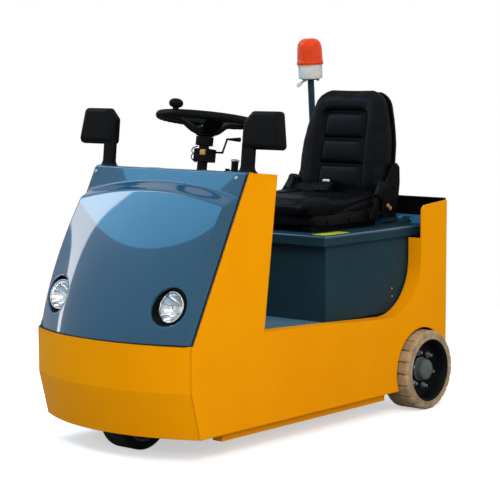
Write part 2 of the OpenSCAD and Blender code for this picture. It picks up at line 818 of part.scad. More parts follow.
// Controls on the cowl: a push button on its collar, a battery gauge and a key switch
button_setback = 350;
button_y = half_w - 120;
gauge_y = 170;

module on_cowl(s, y) {
    translate([sx(s), y, cowl_height(s)]) rotate([0, -cowl_slope, 0]) children();
}

module dash_controls() {
    color("black") {
        on_cowl(button_setback, button_y) {
            cylinder(d = 34, h = 6);
            cylinder(d = 24, h = 34);
            translate([0, 0, 34]) cylinder(d = 28, h = 8);
        }
        on_cowl(pillar_top - 46, -gauge_y) cylinder(d = 62, h = 3);
        on_cowl(pillar_top - 40, gauge_y) {
            cylinder(d = 26, h = 4);
            translate([-2, -9, 3]) cube([4, 18, 9]);
        }
    }
}

// Mirror: a flat arm up from the cowl and a head that faces rearwards
arm_w = 56;
arm_t = 20;
mirror_setback = 318;
head_t = 34;
glass_t = 3;
// The head is narrower at the top and has its inner upper corner cut
mirror_taper = 16;
mirror_cut = 28;
mirror_r = 14;

// Round posts at the head's five corners, drawn in by g
module mirror_corners(g, z, h) {
    low = g + mirror_r;
    right = mirror_w - g - mirror_r;
    top = mirror_h - g - mirror_r;
    for (p = [[low, low], [right, low], [right - mirror_taper, top], [low + mirror_cut, top], [low,
        top - mirror_cut]])
        translate([p[0], p[1] + mirror_rise, z]) cylinder(r = mirror_r, h = h);
}

module mirror_arm() {
    on_cowl(mirror_setback, mirror_y) rotate([90, 0, 90]) {
        translate([0, 0, -arm_t / 2]) linear_extrude(arm_t) polygon([
            [-8, 0], [arm_w, 0], [arm_w - 2, 20], [arm_w - 4, mirror_rise + 20], [0, mirror_rise + 20],
                [0, 20]]);
        hull() {
            mirror_corners(0, -head_t / 2, 16);
            mirror_corners(12, 16 - head_t / 2, head_t - 16);
        }
    }
}

module mirror_arms() { color("black") both_sides() mirror_arm(); }

module mirror_glasses() {
    color("silver") both_sides() on_cowl(mirror_setback, mirror_y) rotate([90, 0, 90])
        hull() mirror_corners(7, -head_t / 2 - glass_t, glass_t);
}

// Headlamp bucket behind its opening in the shell, with a bowl for the reflector
lamp_d = lamp_hole_d - 0.2;
bucket_front = 54;
bucket_l = 74;
lens_d = 108;

// Slopes of the shell round a lamp, forward per height and forward per width
lamp_slope_z = 0.53;
lamp_slope_y = 0.31;
lamp_face = -5;

module headlamp_bucket() {
    tunnel = 80;
    lean = atan(lamp_slope_z / sqrt(1 + lamp_slope_y * lamp_slope_y));
    difference() {
        translate([sx(bucket_front), lamp_y, lamp_z]) rotate([0, -90, 0]) rotate_extrude($fn = 96) polygon([
            [lens_d / 2 + 1, -tunnel], [lamp_d / 2, -tunnel], [lamp_d / 2, bucket_l], [0, bucket_l],
            [0, bucket_l - lamp_t], [20, bucket_l - lamp_t - 2], [lens_d / 2 - 8, 30], [lens_d / 2 - 4, 22],
            [lens_d / 2 - 4, 18], [lens_d / 2 + 1, 18]]);
        // The tunnel's mouth is trimmed along the shell
        translate([sx(-lamp_face) - 6, lamp_y, lamp_z]) rotate([0, -lean, atan(lamp_slope_y)])
            translate([0, -body_w / 2, -body_w / 2]) cube(body_w);
    }
}

module headlamp_buckets() { color("black") both_sides() headlamp_bucket(); }

module headlamp_lenses() {
    color("white") both_sides() translate([sx(bucket_front + 18), lamp_y, lamp_z]) rotate([0, -90, 0])
        rotate_extrude($fn = 96) polygon([
            [0, -14], [20, -13], [36, -10], [48, -6], [lens_d / 2, -2], [lens_d / 2, 0], [0, 0]]);
}

module tail_lamps() {
    color("firebrick") both_sides() rear_view(body_l, body_l + 24)
        translate([half_in - 60, wall_split_z - 60]) rounded(80, 56, 12);
}

// Beacon on its leaning pole, which is clipped to the rear wall
module along_pole() {
    translate([sx(rear_in - rail_t - pole_d / 2 + 2), -pole_y, lid_z + 32]) rotate([0, pole_lean, 0])
        children();
}

pole_l = (pole_z - lid_z - 32) / cos(pole_lean);

module beacon_pole() {
    color("darkslategray") along_pole() {
        cylinder(d = pole_d, h = pole_l);
        translate([0, 0, pole_l - 4]) cylinder(d = 70, h = 4);
    }
    color("darkslategray") block(rear_in - rail_t - pole_d - 6, rear_in, -pole_y - 16, -pole_y + 16,
        lid_z + 30, lid_z + 56);
}

module beacon_base() {
    color("white") along_pole() translate([0, 0, pole_l]) cylinder(d1 = beacon_d - 12, d2 = beacon_d - 8,
        h = beacon_base_h);
}

module beacon_dome() {
    r = beacon_d / 2;
    crown = 28;
    top_r = r - 5.5 - crown;
    color("red") along_pole() translate([0, 0, pole_l + beacon_base_h]) rotate_extrude($fn = 96) {
        polygon([[0, 0], [r, 0], [r, 12], [r - 2.5, 16], [r - 5.5, dome_top - crown], [top_r,
            dome_top - crown],
            [top_r, dome_top], [0, dome_top]]);
        intersection() {
            translate([top_r, dome_top - crown]) circle(crown);
            translate([top_r, dome_top - crown]) square(crown);
        }
    }
}

// Lid of the seat box: a folded tray with two knuckles on the hinge pin
module seat_lid() {
    low_z = lid_z - lid_lip;
    color("darkslategray") {
        block(lid_front, lid_rear, -lid_half, lid_half, lid_under, lid_z);
        block(lid_front, lid_front + box_t, -lid_half, lid_half, low_z, lid_under);
        both_sides() block(lid_front + box_t, lid_rear, lid_half - box_t, lid_half, low_z, lid_under);
        for (y = hinge_lugs, d = [-1, 1]) side_view(y + d * (lug_w / 2 + 16) - 15, y + d *
            (lug_w / 2 + 16) + 15) difference() {
            union() {
                translate([sx(hinge_setback), hinge_z]) circle(knuckle_r);
                polygon([[sx(hinge_setback), hinge_z + knuckle_r], [sx(hinge_setback), hinge_z - knuckle_r],
                    [sx(lid_rear), lid_under], [sx(lid_rear - 40), lid_under + 1], [sx(lid_rear - 40),
                        lid_z + 4]]);
            }
            translate([sx(hinge_setback), hinge_z]) circle(hinge_r + run_gap);
        }
    }
}

// Seat slides and pan
pan_t = 14;

// Air between the backrest and each bracket
seat_gap = 0.15;

module seat_base() {
    s0 = seat_setback + 20;
    s1 = seat_setback + seat_l + 60;
    pan_z = lid_z + seat_rise - pan_t;
    hip = seat_w / 2 - 12;
    color("black") {
        both_sides() block(s0, s1 - 40, hip - 78, hip - 38, lid_z, pan_z + 1);
        block(s0 - 10, s1, -hip + 12, hip - 12, pan_z, lid_z + seat_rise - air);
        block(s1 - 50, s1, -hip - 2, hip + 2, pan_z, lid_z + seat_rise - air);
        // Recliner brackets that hold the backrest between them
        both_sides() side_view(hip + seat_gap, hip + 9) difference() {
            polygon([
                [sx(seat_setback + seat_l + 3), pan_z], [sx(s1 + 26), pan_z], [sx(s1 + 46), pan_z + 60],
                [sx(s1 + 56), pan_z + 130], [sx(s1 + 54), pan_z + 190], [sx(s1 + 36), pan_z + 206],
                [sx(s1 + 4), pan_z + 200], [sx(s1 - 34), pan_z + 130], [sx(seat_setback + seat_l + 3),
                    pan_z + 40]]);
            translate([sx(s1 + 12), pan_z + 110]) circle(6);
        }
    }
}

// Soft corner used for the cushions
module pad_corner(r) { sphere(r, $fn = 32); }

module seat_cushion() {
    r = 34;
    z0 = lid_z + seat_rise;
    half = seat_w / 2;
    color("black") intersection() {
        hull() {
            for (y = [-1, 1]) {
                translate([sx(seat_setback + r), y * (half - r), z0 + cushion_t * 0.55]) pad_corner(r);
                translate([sx(seat_setback + seat_l - r), y * (half - r), z0 + cushion_t - r]) pad_corner(r);
                translate([sx(seat_setback + 70), y * (half - r), z0 + cushion_t - r]) pad_corner(r);
                translate([sx(seat_setback + seat_l - r), y * (half - r), z0]) pad_corner(r);
                translate([sx(seat_setback + r + 8), y * (half - r), z0]) pad_corner(r);
            }
        }
        block(seat_setback - 50, seat_setback + seat_l, -half, half, z0, z0 + 300);
    }
}

// The backrest leans back from the rear of the cushion
module along_back() {
    translate([sx(seat_setback + seat_l + 4), 0, lid_z + seat_rise + 24]) rotate([0, -back_lean, 0])
        children();
}

// Half width of the backrest, between its brackets
back_half = seat_w / 2 - 12;

module seat_back() {
    r = 30;
    color("black") along_back() hull() for (y = [-1, 1], x = [-r, -back_t + r]) {
        translate([x, y * (back_half - r - 8), r]) pad_corner(r);
        translate([x, y * (back_half - r), 0.38 * back_h]) pad_corner(r);
        translate([x, y * (back_half - r - 38), back_h - 86]) pad_corner(r);
        translate([x, y * (back_half - r - 86), back_h - r]) pad_corner(r);
    }
}

// Lap belt hardware: a retractor on the right and a buckle on the left of the pan
module seat_belt() {
    s = seat_setback + seat_l;
    y = seat_w / 2 + air;
    z = lid_z + seat_rise - pan_t;
    color("black") {
        // Retractor in its wedge-shaped guard
        side_view(-y - 12, -y) polygon([
            [sx(s - 70), z], [sx(s + 20), z], [sx(s + 34), z + 76], [sx(s + 44), z + 128], [sx(s + 8),
                z + 152],
            [sx(s - 34), z + 92]]);
        block(s - 60, s + 2, -y - 1, -seat_w / 2 + 24, z + 1, z + pan_t - 1);
        // Buckle on its stalk
        block(s - 60, s - 34, y, y + 12, z, z + 70);
        block(s - 64, s - 30, y, y + 20, z + 69, z + 128);
        block(s - 60, s - 34, seat_w / 2 - 24, y + 1, z + 1, z + pan_t - 1);
    }
}

// One spoke: a plate that climbs steeply from the hub, then widens to the rim round a window
module spoke(rim_r) {
    bend = 0.6 * rim_r;
    difference() {
        union() {
            hull() {
                translate([hub_r - 14, -26, -steer_dish - 13]) cube([10, 52, 26]);
                translate([bend, -36, -14]) cube([8, 72, 12]);
            }
            hull() {
                translate([bend, -36, -14]) cube([8, 72, 12]);
                translate([rim_r - 8, -46, -7]) cube([6, 92, 12]);
            }
        }
        translate([0.68 * rim_r, 0, -40]) cylinder(r = 15, h = 80);
    }
}

module steering_wheel() {
    rim_r = steer_d / 2 - steer_rim_d / 2;
    low = -steer_dish - hub_h / 2;
    color("black") along_column() {
        rotate_extrude($fn = 128) translate([rim_r, 0]) circle(d = steer_rim_d, $fn = 48);
        translate([0, 0, low]) cylinder(r = hub_r, h = hub_h);
        translate([0, 0, low - 120]) cylinder(r = shaft_r, h = 121);
        for (a = [60, 180, 300]) rotate([0, 0, a]) spoke(rim_r);
    }
}

module spinner_knob() {
    rim_r = steer_d / 2 - steer_rim_d / 2;
    color("black") along_column() difference() {
        translate([rim_r, 0, steer_rim_d / 2 - 4]) rotate_extrude() polygon([
            [0, 0], [11, 0], [10.5, 8], [17, 11], [23, 16], [25, 22], [24, 29], [18, 36], [10, 39.5], [0,
                40.5]]);
        // Its foot is hollowed to sit on the rim
        rotate_extrude($fn = 128) translate([rim_r, 0]) circle(d = steer_rim_d, $fn = 48);
    }
}

chassis_frame();
side_panel_left();
side_panel_right();
front_bumper();
front_shell();
cowl();
bulkhead();
floor_plate();
floor_mat();
pedals();
battery_box();
battery();
rear_wall();
rear_panel();
hinge_rail();
hitch_plate();
tow_jaw();
tow_pin();
rear_axle();
drive_plate();
drive_motor();
steering_column();
column_switch();
dash_controls();
mirror_arms();
mirror_glasses();
headlamp_buckets();
headlamp_lenses();
tail_lamps();
beacon_pole();
beacon_base();
beacon_dome();
seat_lid();
seat_base();
seat_cushion();
seat_back();
seat_belt();
drive_unit();
drive_rim();
drive_tyre();
rear_rim_left();
rear_tyre_left();
rear_rim_right();
rear_tyre_right();
steering_wheel();
spinner_knob();
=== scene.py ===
"""Looks of a small seated electric tow tractor, laid over its CAD frame.

Every piece is worked out in millimetres as a surface of two parameters, or as a section carried
along a path, and is put into its mesh in metres, in the frame's own axes: X forward, Y left, Z up.
"""
import json

import bmesh
import bpy
import numpy as np
from mathutils import Matrix


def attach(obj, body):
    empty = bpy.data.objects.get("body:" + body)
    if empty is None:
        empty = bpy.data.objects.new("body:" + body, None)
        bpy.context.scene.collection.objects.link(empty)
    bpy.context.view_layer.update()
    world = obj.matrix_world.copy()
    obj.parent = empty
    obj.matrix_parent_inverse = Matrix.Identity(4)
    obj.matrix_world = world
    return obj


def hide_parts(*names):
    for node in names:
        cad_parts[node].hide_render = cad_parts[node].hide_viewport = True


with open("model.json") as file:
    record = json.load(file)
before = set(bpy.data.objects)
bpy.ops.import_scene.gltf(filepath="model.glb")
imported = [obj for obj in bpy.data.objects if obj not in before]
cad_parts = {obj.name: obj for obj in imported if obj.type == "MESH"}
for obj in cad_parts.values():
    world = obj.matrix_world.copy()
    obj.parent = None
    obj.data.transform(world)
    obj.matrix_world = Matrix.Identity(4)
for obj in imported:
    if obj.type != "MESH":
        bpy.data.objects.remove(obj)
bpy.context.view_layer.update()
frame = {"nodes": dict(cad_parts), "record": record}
scene = bpy.context.scene
MM = 0.001

# ---- Places taken from the part's source, in millimetres ----
FRONT_X, HALF_WIDTH = 740.0, 360.0
BUMPER_TOP, BUMPER_BOW = 398.0, 95.0
BUMPER_RADIUS = (HALF_WIDTH**2 + BUMPER_BOW**2) / (2 * BUMPER_BOW)
COWL_Z, COWL_BACK, COWL_LENGTH, COWL_FALL = 947.0, 280.0, 154.0, 16.0
WHEEL_CENTRE = (260.0, 0.0, 1110.0)
REAR_AXLE = np.array([-555.0, 340.0, 150.0])
SEAT_FRONT = -98.0
BACK_FOOT = np.array([-494.0, 0.0, 759.0])
POLE_FOOT, POLE_LENGTH = np.array([-685.0, -252.0, 723.0]), 524.3

# ---- Sizes of the shell and its lamp holes, as the photograph shows them ----
SHELL_HALF, SHELL_BAND, SHELL_DOME, SHELL_WALL = 354.5, 62.0, 48.0, 6.0
LAMP_Y, LAMP_Z, LAMP_HOLE = 260.0, 518.0, 59.0


# ---- Mesh making ----
def lattice(rows, cols, ring_rows=False, ring_cols=False):
    """Quads between neighbours of a rows x cols net of points; a ring joins its last line to its first."""
    i, j = np.meshgrid(np.arange(rows - (not ring_rows)), np.arange(cols - (not ring_cols)), indexing="ij")
    down, along = (i + 1) % rows, (j + 1) % cols
    return np.stack([i * cols + j, i * cols + along, down * cols + along, down * cols + j], -1).reshape(-1, 4)


def sheet(points, ring_rows=False, ring_cols=False):
    """A net of points (rows, cols, 3) with its quads."""
    return points.reshape(-1, 3), lattice(points.shape[0], points.shape[1], ring_rows, ring_cols)


def round_angles(steps):
    """Equal steps of angle, once round."""
    return np.linspace(0, 2 * np.pi, steps, endpoint=False)


def leaning(angle):
    """The ways ahead and up of something that leans back by an angle."""
    return np.array([np.cos(angle), 0, np.sin(angle)]), np.array([-np.sin(angle), 0, np.cos(angle)])


def xyz(x, y, z):
    """Points from their three coordinates, each repeated as far as the others reach."""
    return np.stack(np.broadcast_arrays(x, y, z), -1)


def turned(profile, steps):
    """A lathe form: each (radius, height) of the profile goes once round the local Z axis."""
    profile, a = np.asarray(profile, float), round_angles(steps)
    r, h = profile[:, :1], profile[:, 1:2]
    return xyz(r * np.cos(a), r * np.sin(a), h)


def set_at(points, origin, z_axis, x_axis=None):
    """Local points carried to origin, with local Z along z_axis and local X as near x_axis as it can be."""
    z = np.asarray(z_axis, float) / np.linalg.norm(z_axis)
    if x_axis is None:
        x_axis = (1, 0, 0) if abs(z[0]) < 0.8 else (0, 1, 0)
    hint = np.asarray(x_axis, float)
    x = hint - z * (hint @ z)
    x /= np.linalg.norm(x)
    return np.asarray(origin, float) + points @ np.stack([x, np.cross(z, x), z])


def place_at(origin, z_axis, x_axis):
    """A function that carries local points to origin, as set_at does."""
    return lambda p: set_at(p, origin, z_axis, x_axis)


def spun(profile, steps, place):
    """A lathe form as a net that is closed round; place carries it to where it stands."""
    return sheet(place(turned(profile, steps)), ring_cols=True)


def lathe(profile, origin, axis, steps, x_axis=None):
    """A lathe form standing at origin along axis."""
    return spun(profile, steps, place_at(origin, axis, x_axis))


def carried(path, section, up=(0, 0, 1), scale=None):
    """A flat section (m, 2) carried along a path (n, 3): its first way lies across the path and up, its
    second way nearest up; scale gives a size factor, or one for each of the two ways, at each point of the
    path."""
    path, section = np.asarray(path, float), np.asarray(section, float)
    t = np.gradient(path, axis=0)
    t /= np.linalg.norm(t, axis=1, keepdims=True)
    side = np.cross(t, np.asarray(up, float))
    side /= np.linalg.norm(side, axis=1, keepdims=True)
    over = np.cross(side, t)
    k = np.ones(len(path)) if scale is None else np.asarray(scale, float)
    s = section[None] * k.reshape(len(path), 1, -1)
    return path[:, None] + s[..., :1] * side[:, None] + s[..., 1:] * over[:, None]


def smooth_path(points, count):
    """A curve through the points by Catmull-Rom's cubic, cut into count points."""
    p = np.asarray(points, float)
    p = np.vstack([2 * p[0] - p[1], p, 2 * p[-1] - p[-2]])
    t = np.linspace(0, len(p) - 3 - 1e-9, count)
    i = t.astype(int)
    f = (t - i)[:, None]
    a, b, c, d = p[i], p[i + 1], p[i + 2], p[i + 3]
    return 0.5 * (2 * b + (c - a) * f + (2 * a - 5 * b + 4 * c - d) * f**2 + (3 * b - a - 3 * c + d) * f**3)


def round_rect(width, height, radius, arc=7):
    """Outline of a rectangle with round corners, anticlockwise: four quarter circles in turn."""
    a = (np.linspace(0, np.pi / 2, arc)[None] + np.arange(4)[:, None] * np.pi / 2).ravel()
    cx = np.repeat([1, -1, -1, 1], arc) * (width / 2 - radius)
    cy = np.repeat([1, 1, -1, -1], arc) * (height / 2 - radius)
    return np.stack([cx + radius * np.cos(a), cy + radius * np.sin(a)], -1)


def circle(radius, steps):
    """Points round a circle."""
    a = round_angles(steps)
    return radius * np.stack([np.cos(a), np.sin(a)], -1)


def closed(net, place=np.asarray):
    """A tube's net with its end rings drawn in to their middles; place carries it to where it stands."""
    ends = [np.broadcast_to(net[k].mean(0), net[k].shape)[None] for k in (0, -1)]
    return sheet(place(np.concatenate([ends[0], net, ends[1]])), ring_cols=True)


def tube(path, section, up=(0, 0, 1), scale=None):
    """A solid bar: a section carried along a path, with both ends closed."""
    return closed(carried(path, section, up, scale))


def slab(outline, low, high, edge, place):
    """A plate with rounded edges: the outline shrinks by edge towards each face along a quarter circle."""
    middle = outline.mean(0)
    reach = np.linalg.norm(outline - middle, axis=1).max()
    a = np.linspace(0, np.pi / 2, 4)
    inset = edge * (1 - np.concatenate([np.sin(a), np.cos(a)]))
    height = np.concatenate([low + edge * (1 - np.cos(a)), high - edge * (1 - np.sin(a))])
    flat = middle + (outline - middle) * (1 - inset / reach)[:, None, None]
    level = np.broadcast_to(height[:, None, None], (*flat.shape[:2], 1))
    return closed(np.concatenate([flat, level], -1), place)


def placed(name, data):
    """A new object in the scene."""
    thing = bpy.data.objects.new(name, data)
    scene.collection.objects.link(thing)
    return thing


def make(name, nets, finish, *stands_for, body="chassis", slot=None, crease=38.0):
    """One mesh of several nets, in metres: doubles merged, normals turned outwards, smooth but for creases
    sharper than crease degrees. It rides on a body and takes the place of the CAD nodes that it stands for;
    its slot, the one named or its finish's, is not used."""
    base, points, faces = 0, [], []
    for p, f in nets:
        points.append(p)
        faces.append(f + base)
        base += len(p)
    mesh = bpy.data.meshes.new(name)
    mesh.from_pydata((np.concatenate(points) * MM).tolist(), [], np.concatenate(faces).tolist())
    bm = bmesh.new()
    bm.from_mesh(mesh)
    bmesh.ops.remove_doubles(bm, verts=bm.verts, dist=2e-5)
    bmesh.ops.dissolve_degenerate(bm, edges=bm.edges, dist=1e-6)
    bmesh.ops.recalc_face_normals(bm, faces=bm.faces)
    bm.to_mesh(mesh)
    bm.free()
    mesh.shade_smooth()
    mesh.set_sharp_from_angle(angle=np.radians(crease))
    mesh.materials.append(finish)
    piece = placed(name, mesh)
    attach(piece, body)
    slot = slot or SLOTS[finish.name]
    if stands_for:
        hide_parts(*stands_for)
    return piece


# ---- Materials ----
def linear(hex_colour):
    """An sRGB hex colour as linear RGBA."""
    c = np.array([int(hex_colour[k : k + 2], 16) for k in (1, 3, 5)]) / 255
    c = np.where(c <= 0.04045, c / 12.92, ((c + 0.055) / 1.055) ** 2.4)
    return (*c.tolist(), 1.0)


def add(tree, kind, sockets=None, **settings):
    """Adds a shader node: settings are its properties; sockets maps an input to a value or to what feeds it,
    a socket or a node's first output."""
    made = tree.nodes.new("ShaderNode" + kind)
    for key, value in settings.items():
        setattr(made, key, value)
    for key, value in (sockets or {}).items():
        value = value.outputs[0] if isinstance(value, bpy.types.Node) else value
        if isinstance(value, bpy.types.NodeSocket):
            tree.links.new(value, made.inputs[key])
        else:
            made.inputs[key].default_value = value
    return made


def emptied(owner):
    """The node tree of a material or a world, with nothing in it yet."""
    owner.use_nodes = True
    owner.node_tree.nodes.clear()
    return owner.node_tree


SLOTS, FINISHES = {}, {}


def surface(name, slot, grain_mm, grain_depth_mm, colours, blotch_mm, rough, edge_mm=0.0, grain="TexNoise",
            specular=0.15, coat=0.0, coat_rough=0.03, **values):
    """A surface of one stuff: two colours in soft blotches, roughness between two bounds in the same
    blotches, a fine grain as bump, edges rounded by edge_mm where the light meets them, and a clear coat;
    values are other inputs of the shader, by name. A texture's scale is its cells in a metre. The first
    surface of a slot also dresses the CAD nodes of that slot."""
    material = bpy.data.materials.new(name)
    SLOTS[material.name] = slot
    FINISHES.setdefault(slot, material)
    tree = emptied(material)
    place = add(tree, "TexCoord").outputs["Object"]
    blotch = add(tree, "TexNoise", {"Vector": place, "Scale": 1000 / blotch_mm, "Detail": 5.0,
                                    "Roughness": 0.6})
    spread = {"Value": blotch, "From Min": 0.3, "From Max": 0.7}
    tint = add(tree, "MapRange", spread)
    dull = add(tree, "MapRange", {**spread, "To Min": rough[0], "To Max": rough[1]})
    colour = add(tree, "Mix", {"Factor": tint, "A": linear(colours[0]), "B": linear(colours[1])},
                 data_type="RGBA").outputs["Result"]
    pores = {"Vector": place, "Scale": 1000 / grain_mm}
    if grain == "TexNoise":
        pores["Detail"] = 3.0
    relief = {"Strength": 1.0, "Distance": grain_depth_mm * MM, "Height": add(tree, grain, pores)}
    if edge_mm:
        relief["Normal"] = add(tree, "Bevel", {"Radius": edge_mm * MM}, samples=4)
    bump = add(tree, "Bump", relief)
    body = add(tree, "BsdfPrincipled", {
        "Base Color": colour, "Roughness": dull, "Normal": bump, "Specular IOR Level": specular,
        "Coat Weight": coat, "Coat Roughness": coat_rough, **values})
    add(tree, "OutputMaterial", {"Surface": body})
    return material


# Powder coat on steel sheet, sprayed dry and baked: a faint orange peel of about 3 mm and a satin gloss
yellow_powder_coat = surface("yellow_powder_coat", "yellow_paint", 3.0, 0.03, ("#FFA500", "#FA9E00"), 260,
                             (0.34, 0.42), 6.0, specular=0.03)
# Gel-coated glass fibre shell: laid in a polished mould, so it is glossy, with slow waves of about 140 mm
gel_coat = surface("slate_gel_coat", "shell_plastic", 140.0, 0.5, ("#194D68", "#164963"), 300, (0.2, 0.24),
                   specular=0.05, coat=0.65)
# Dark powder coat on folded sheet: a fine sand texture of about 1.2 mm, drawn at 2 mm so that it shows
slate_powder_coat = surface(
    "slate_powder_coat", "dark_sheet", 2.0, 0.04, ("#1F363F", "#233D47"), 180, (0.3, 0.38), 4.0, specular=0.0,
    coat=0.2, coat_rough=0.3)
# Slate lacquer on the lid's rolled edge: glossy where hands have rubbed it, and painted lighter and bluer
# than the lid as a painted highlight
slate_lacquer_painted_highlight = surface("slate_lacquer_painted_highlight", "dark_sheet", 6.0, 0.02, ("#2A4E66", "#2E5570"), 120, (0.2, 0.28),
                        coat=0.8, coat_rough=0.08)
# Enamel on the rear rail: its grey-blue raised to a bright sky blue, a painted highlight along the rail
rail_enamel_painted_highlight = surface("rail_enamel_painted_highlight", "rail_paint", 3.0, 0.03, ("#3F86B8", "#3A7FB0"), 120, (0.3, 0.38), 2.0)
# Black chassis enamel: brushed on thick, with a soft gloss and a little dust
chassis_enamel = surface("chassis_enamel", "black_paint", 4.0, 0.06, ("#0A0B0D", "#0F1012"), 90, (0.36, 0.5),
                         2.0, specular=0.0, coat=0.15, coat_rough=0.35)
# Moulded black polypropylene: spark-eroded grain of about 0.8 mm, drawn at 1.6 mm so that it shows
moulded_black = surface("moulded_polypropylene", "black_plastic", 1.6, 0.06, ("#0B0C0D", "#0F1011"), 60,
                        (0.42, 0.52), 1.5, specular=0.0, coat=0.14, coat_rough=0.32)
# Ribbed floor rubber: matt, with pale scuff and dust
floor_rubber = surface("floor_rubber", "mat_rubber", 2.5, 0.1, ("#56788A", "#48687A"), 70, (0.6, 0.75), 1.0)
# Vinyl skin drawn over foam: pebbled leather grain of about 2.4 mm and a low sheen
seat_vinyl = surface(
    "seat_vinyl", "seat_vinyl", 2.4, 0.10, ("#08090B", "#0B0D10"), 110, (0.36, 0.46), grain="TexVoronoi",
    specular=0.0, coat=0.15, coat_rough=0.34)
# Non-marking tan rubber of the rear tyres: chalky, stained where it has run
tan_rubber = surface("tan_tyre_rubber", "rear_tyre", 2.0, 0.12, ("#BFA783", "#8C7860"), 46, (0.72, 0.88), 1.2)
# Black polyurethane of the drive tyre, and the shell's black rubber bead
black_rubber = surface("black_tyre_rubber", "drive_tyre", 3.0, 0.12, ("#141415", "#1F1E1D"), 40, (0.65, 0.8),
                       1.5)
# Satin black enamel on the pressed wheel
wheel_enamel = surface("wheel_enamel", "rim_black", 4.0, 0.05, ("#0D0E10", "#141518"), 60, (0.3, 0.42), 1.5,
                       specular=0.0, coat=0.15, coat_rough=0.35)
# Sand-cast iron, painted grey: a coarse skin of about 3 mm
cast_iron = surface("painted_cast_iron", "cast_grey", 3.0, 0.25, ("#505B59", "#636E6A"), 40, (0.45, 0.6), 1.5)
# Ground and polished steel of the pin
bright_steel = surface(
    "bright_steel", "bright_steel", 1.2, 0.02, ("#C9CACB", "#B4B6B8"), 30, (0.2, 0.32), 1.0, Metallic=1.0)
# Zinc plate on small steel fasteners: a bright grey metal with a soft spangle
zinc_plate = surface(
    "zinc_plate", "bright_steel", 2.0, 0.03, ("#B9C0C2", "#9AA3A6"), 14, (0.25, 0.4), 0.6, Metallic=1.0)
# Yellow passivated steel of the recliner bolts and the column's contact block
brass_plate = surface("yellow_passivated_steel", "bright_steel", 2.0, 0.03, ("#DCA968", "#C08E50"), 12,
                      (0.3, 0.45), 0.6, Metallic=0.5)
# Vacuum-chromed reflector
chrome = surface("vacuum_chrome", "bright_steel", 6.0, 0.02, ("#E4E6E8", "#DADDE0"), 30, (0.05, 0.09),
                 Metallic=1.0)
# Silvered mirror glass
silvered_glass = surface(
    "silvered_glass", "mirror_glass", 60.0, 0.02, ("#DDE3E6", "#D5DCE0"), 80, (0.02, 0.04), Metallic=1.0)
# Pressed lamp glass: clear, with soft waves of about 7 mm
lamp_glass = surface(
    "pressed_lamp_glass", "lens_glass", 7.0, 0.25, ("#F4F8FA", "#EEF3F6"), 60, (0.02, 0.05),
    **{"Transmission Weight": 1.0, "IOR": 1.5})
# Red polycarbonate of the beacon: clear colour that glows where light passes
beacon_red = surface(
    "red_polycarbonate", "beacon_red", 9.0, 0.08, ("#FF560C", "#FA4A08"), 60, (0.14, 0.22), coat=0.2,
    **{"Transmission Weight": 0.4, "IOR": 1.3})
# Red acrylic of the tail lamps
tail_acrylic = surface(
    "red_acrylic", "tail_red", 5.0, 0.2, ("#9E120E", "#860E0B"), 40, (0.12, 0.18), 0.8, coat=0.7,
    **{"Transmission Weight": 0.15, "IOR": 1.49})
# White ABS of the beacon's base
white_abs = surface("white_abs", "beacon_white", 1.8, 0.03, ("#DCDCD8", "#D3D4D0"), 50, (0.34, 0.42), 1.0)
# Woven belt webbing: a coarse weave of about 2 mm
webbing = surface(
    "belt_webbing", "black_plastic", 2.2, 0.35, ("#0C0D0E", "#121315"), 30, (0.7, 0.85), 0.4, specular=0.1)
# Yellow-green film laid on the lid
marker_film = surface("marker_film", "yellow_paint", 3.0, 0.02, ("#D2D81E", "#C6CC18"), 60, (0.3, 0.4))
# Battery case of black moulded polypropylene, closed away under the lid
battery_case = surface("battery_case", "battery_case", 2.0, 0.06, ("#1B1C1E", "#222427"), 80, (0.5, 0.6), 2.0)

for row in frame["record"]["subparts"]:
    node_mesh = frame["nodes"][row["node"]].data
    node_mesh.materials.clear()
    node_mesh.materials.append(FINISHES[row["material_slot"]])


# ---- Front shell ----
def ease(a, b, t):
    """0 below a, 1 above b, and a smooth cubic between."""
    k = np.clip((t - a) / (b - a), 0, 1)
    return k * k * (3 - 2 * k)


def shell_face(y, z):
    """X of the shell's outer face: a plane that leans back, bowed across like the bumper, with a dome that
    steps up from a flat band at its top and from a narrow flange at its sides, and swells as a parabola of
    its height; every free edge and each lamp hole rolls back on a quarter circle."""
    height = COWL_Z - BUMPER_TOP
    u, v = y / SHELL_HALF, (z - BUMPER_TOP) / height
    edge = 1 - SHELL_BAND / height - 0.08 * u**2
    rise = ease(0.012, 0.06, 1 - np.abs(u)) * ease(0, 0.06, edge + 0.04 - v)
    swell = SHELL_DOME * (1 - (np.clip(v / edge, 0, 1) / 0.68 - 1) ** 2)
    bow = np.sqrt(BUMPER_RADIUS**2 - y**2) - np.sqrt(BUMPER_RADIUS**2 - HALF_WIDTH**2)
    fade = 1 - ease(0, 1, v / (edge + 0.04))
    x = FRONT_X - COWL_BACK * v + bow * (0.35 * fade + 0.65 * (1 - v)) + swell * rise - 1.0
    hole = np.hypot(np.abs(y) - LAMP_Y, z - LAMP_Z) - LAMP_HOLE
    for over, r in ((z - (COWL_Z - 6), 6.0), (np.abs(y) - (SHELL_HALF - 5), 5.0), (7.0 - hole, 7.0)):
        k = np.clip(over, 0, r)
        x = x - r + np.sqrt(np.maximum(r * r - k * k, 0))
    return x


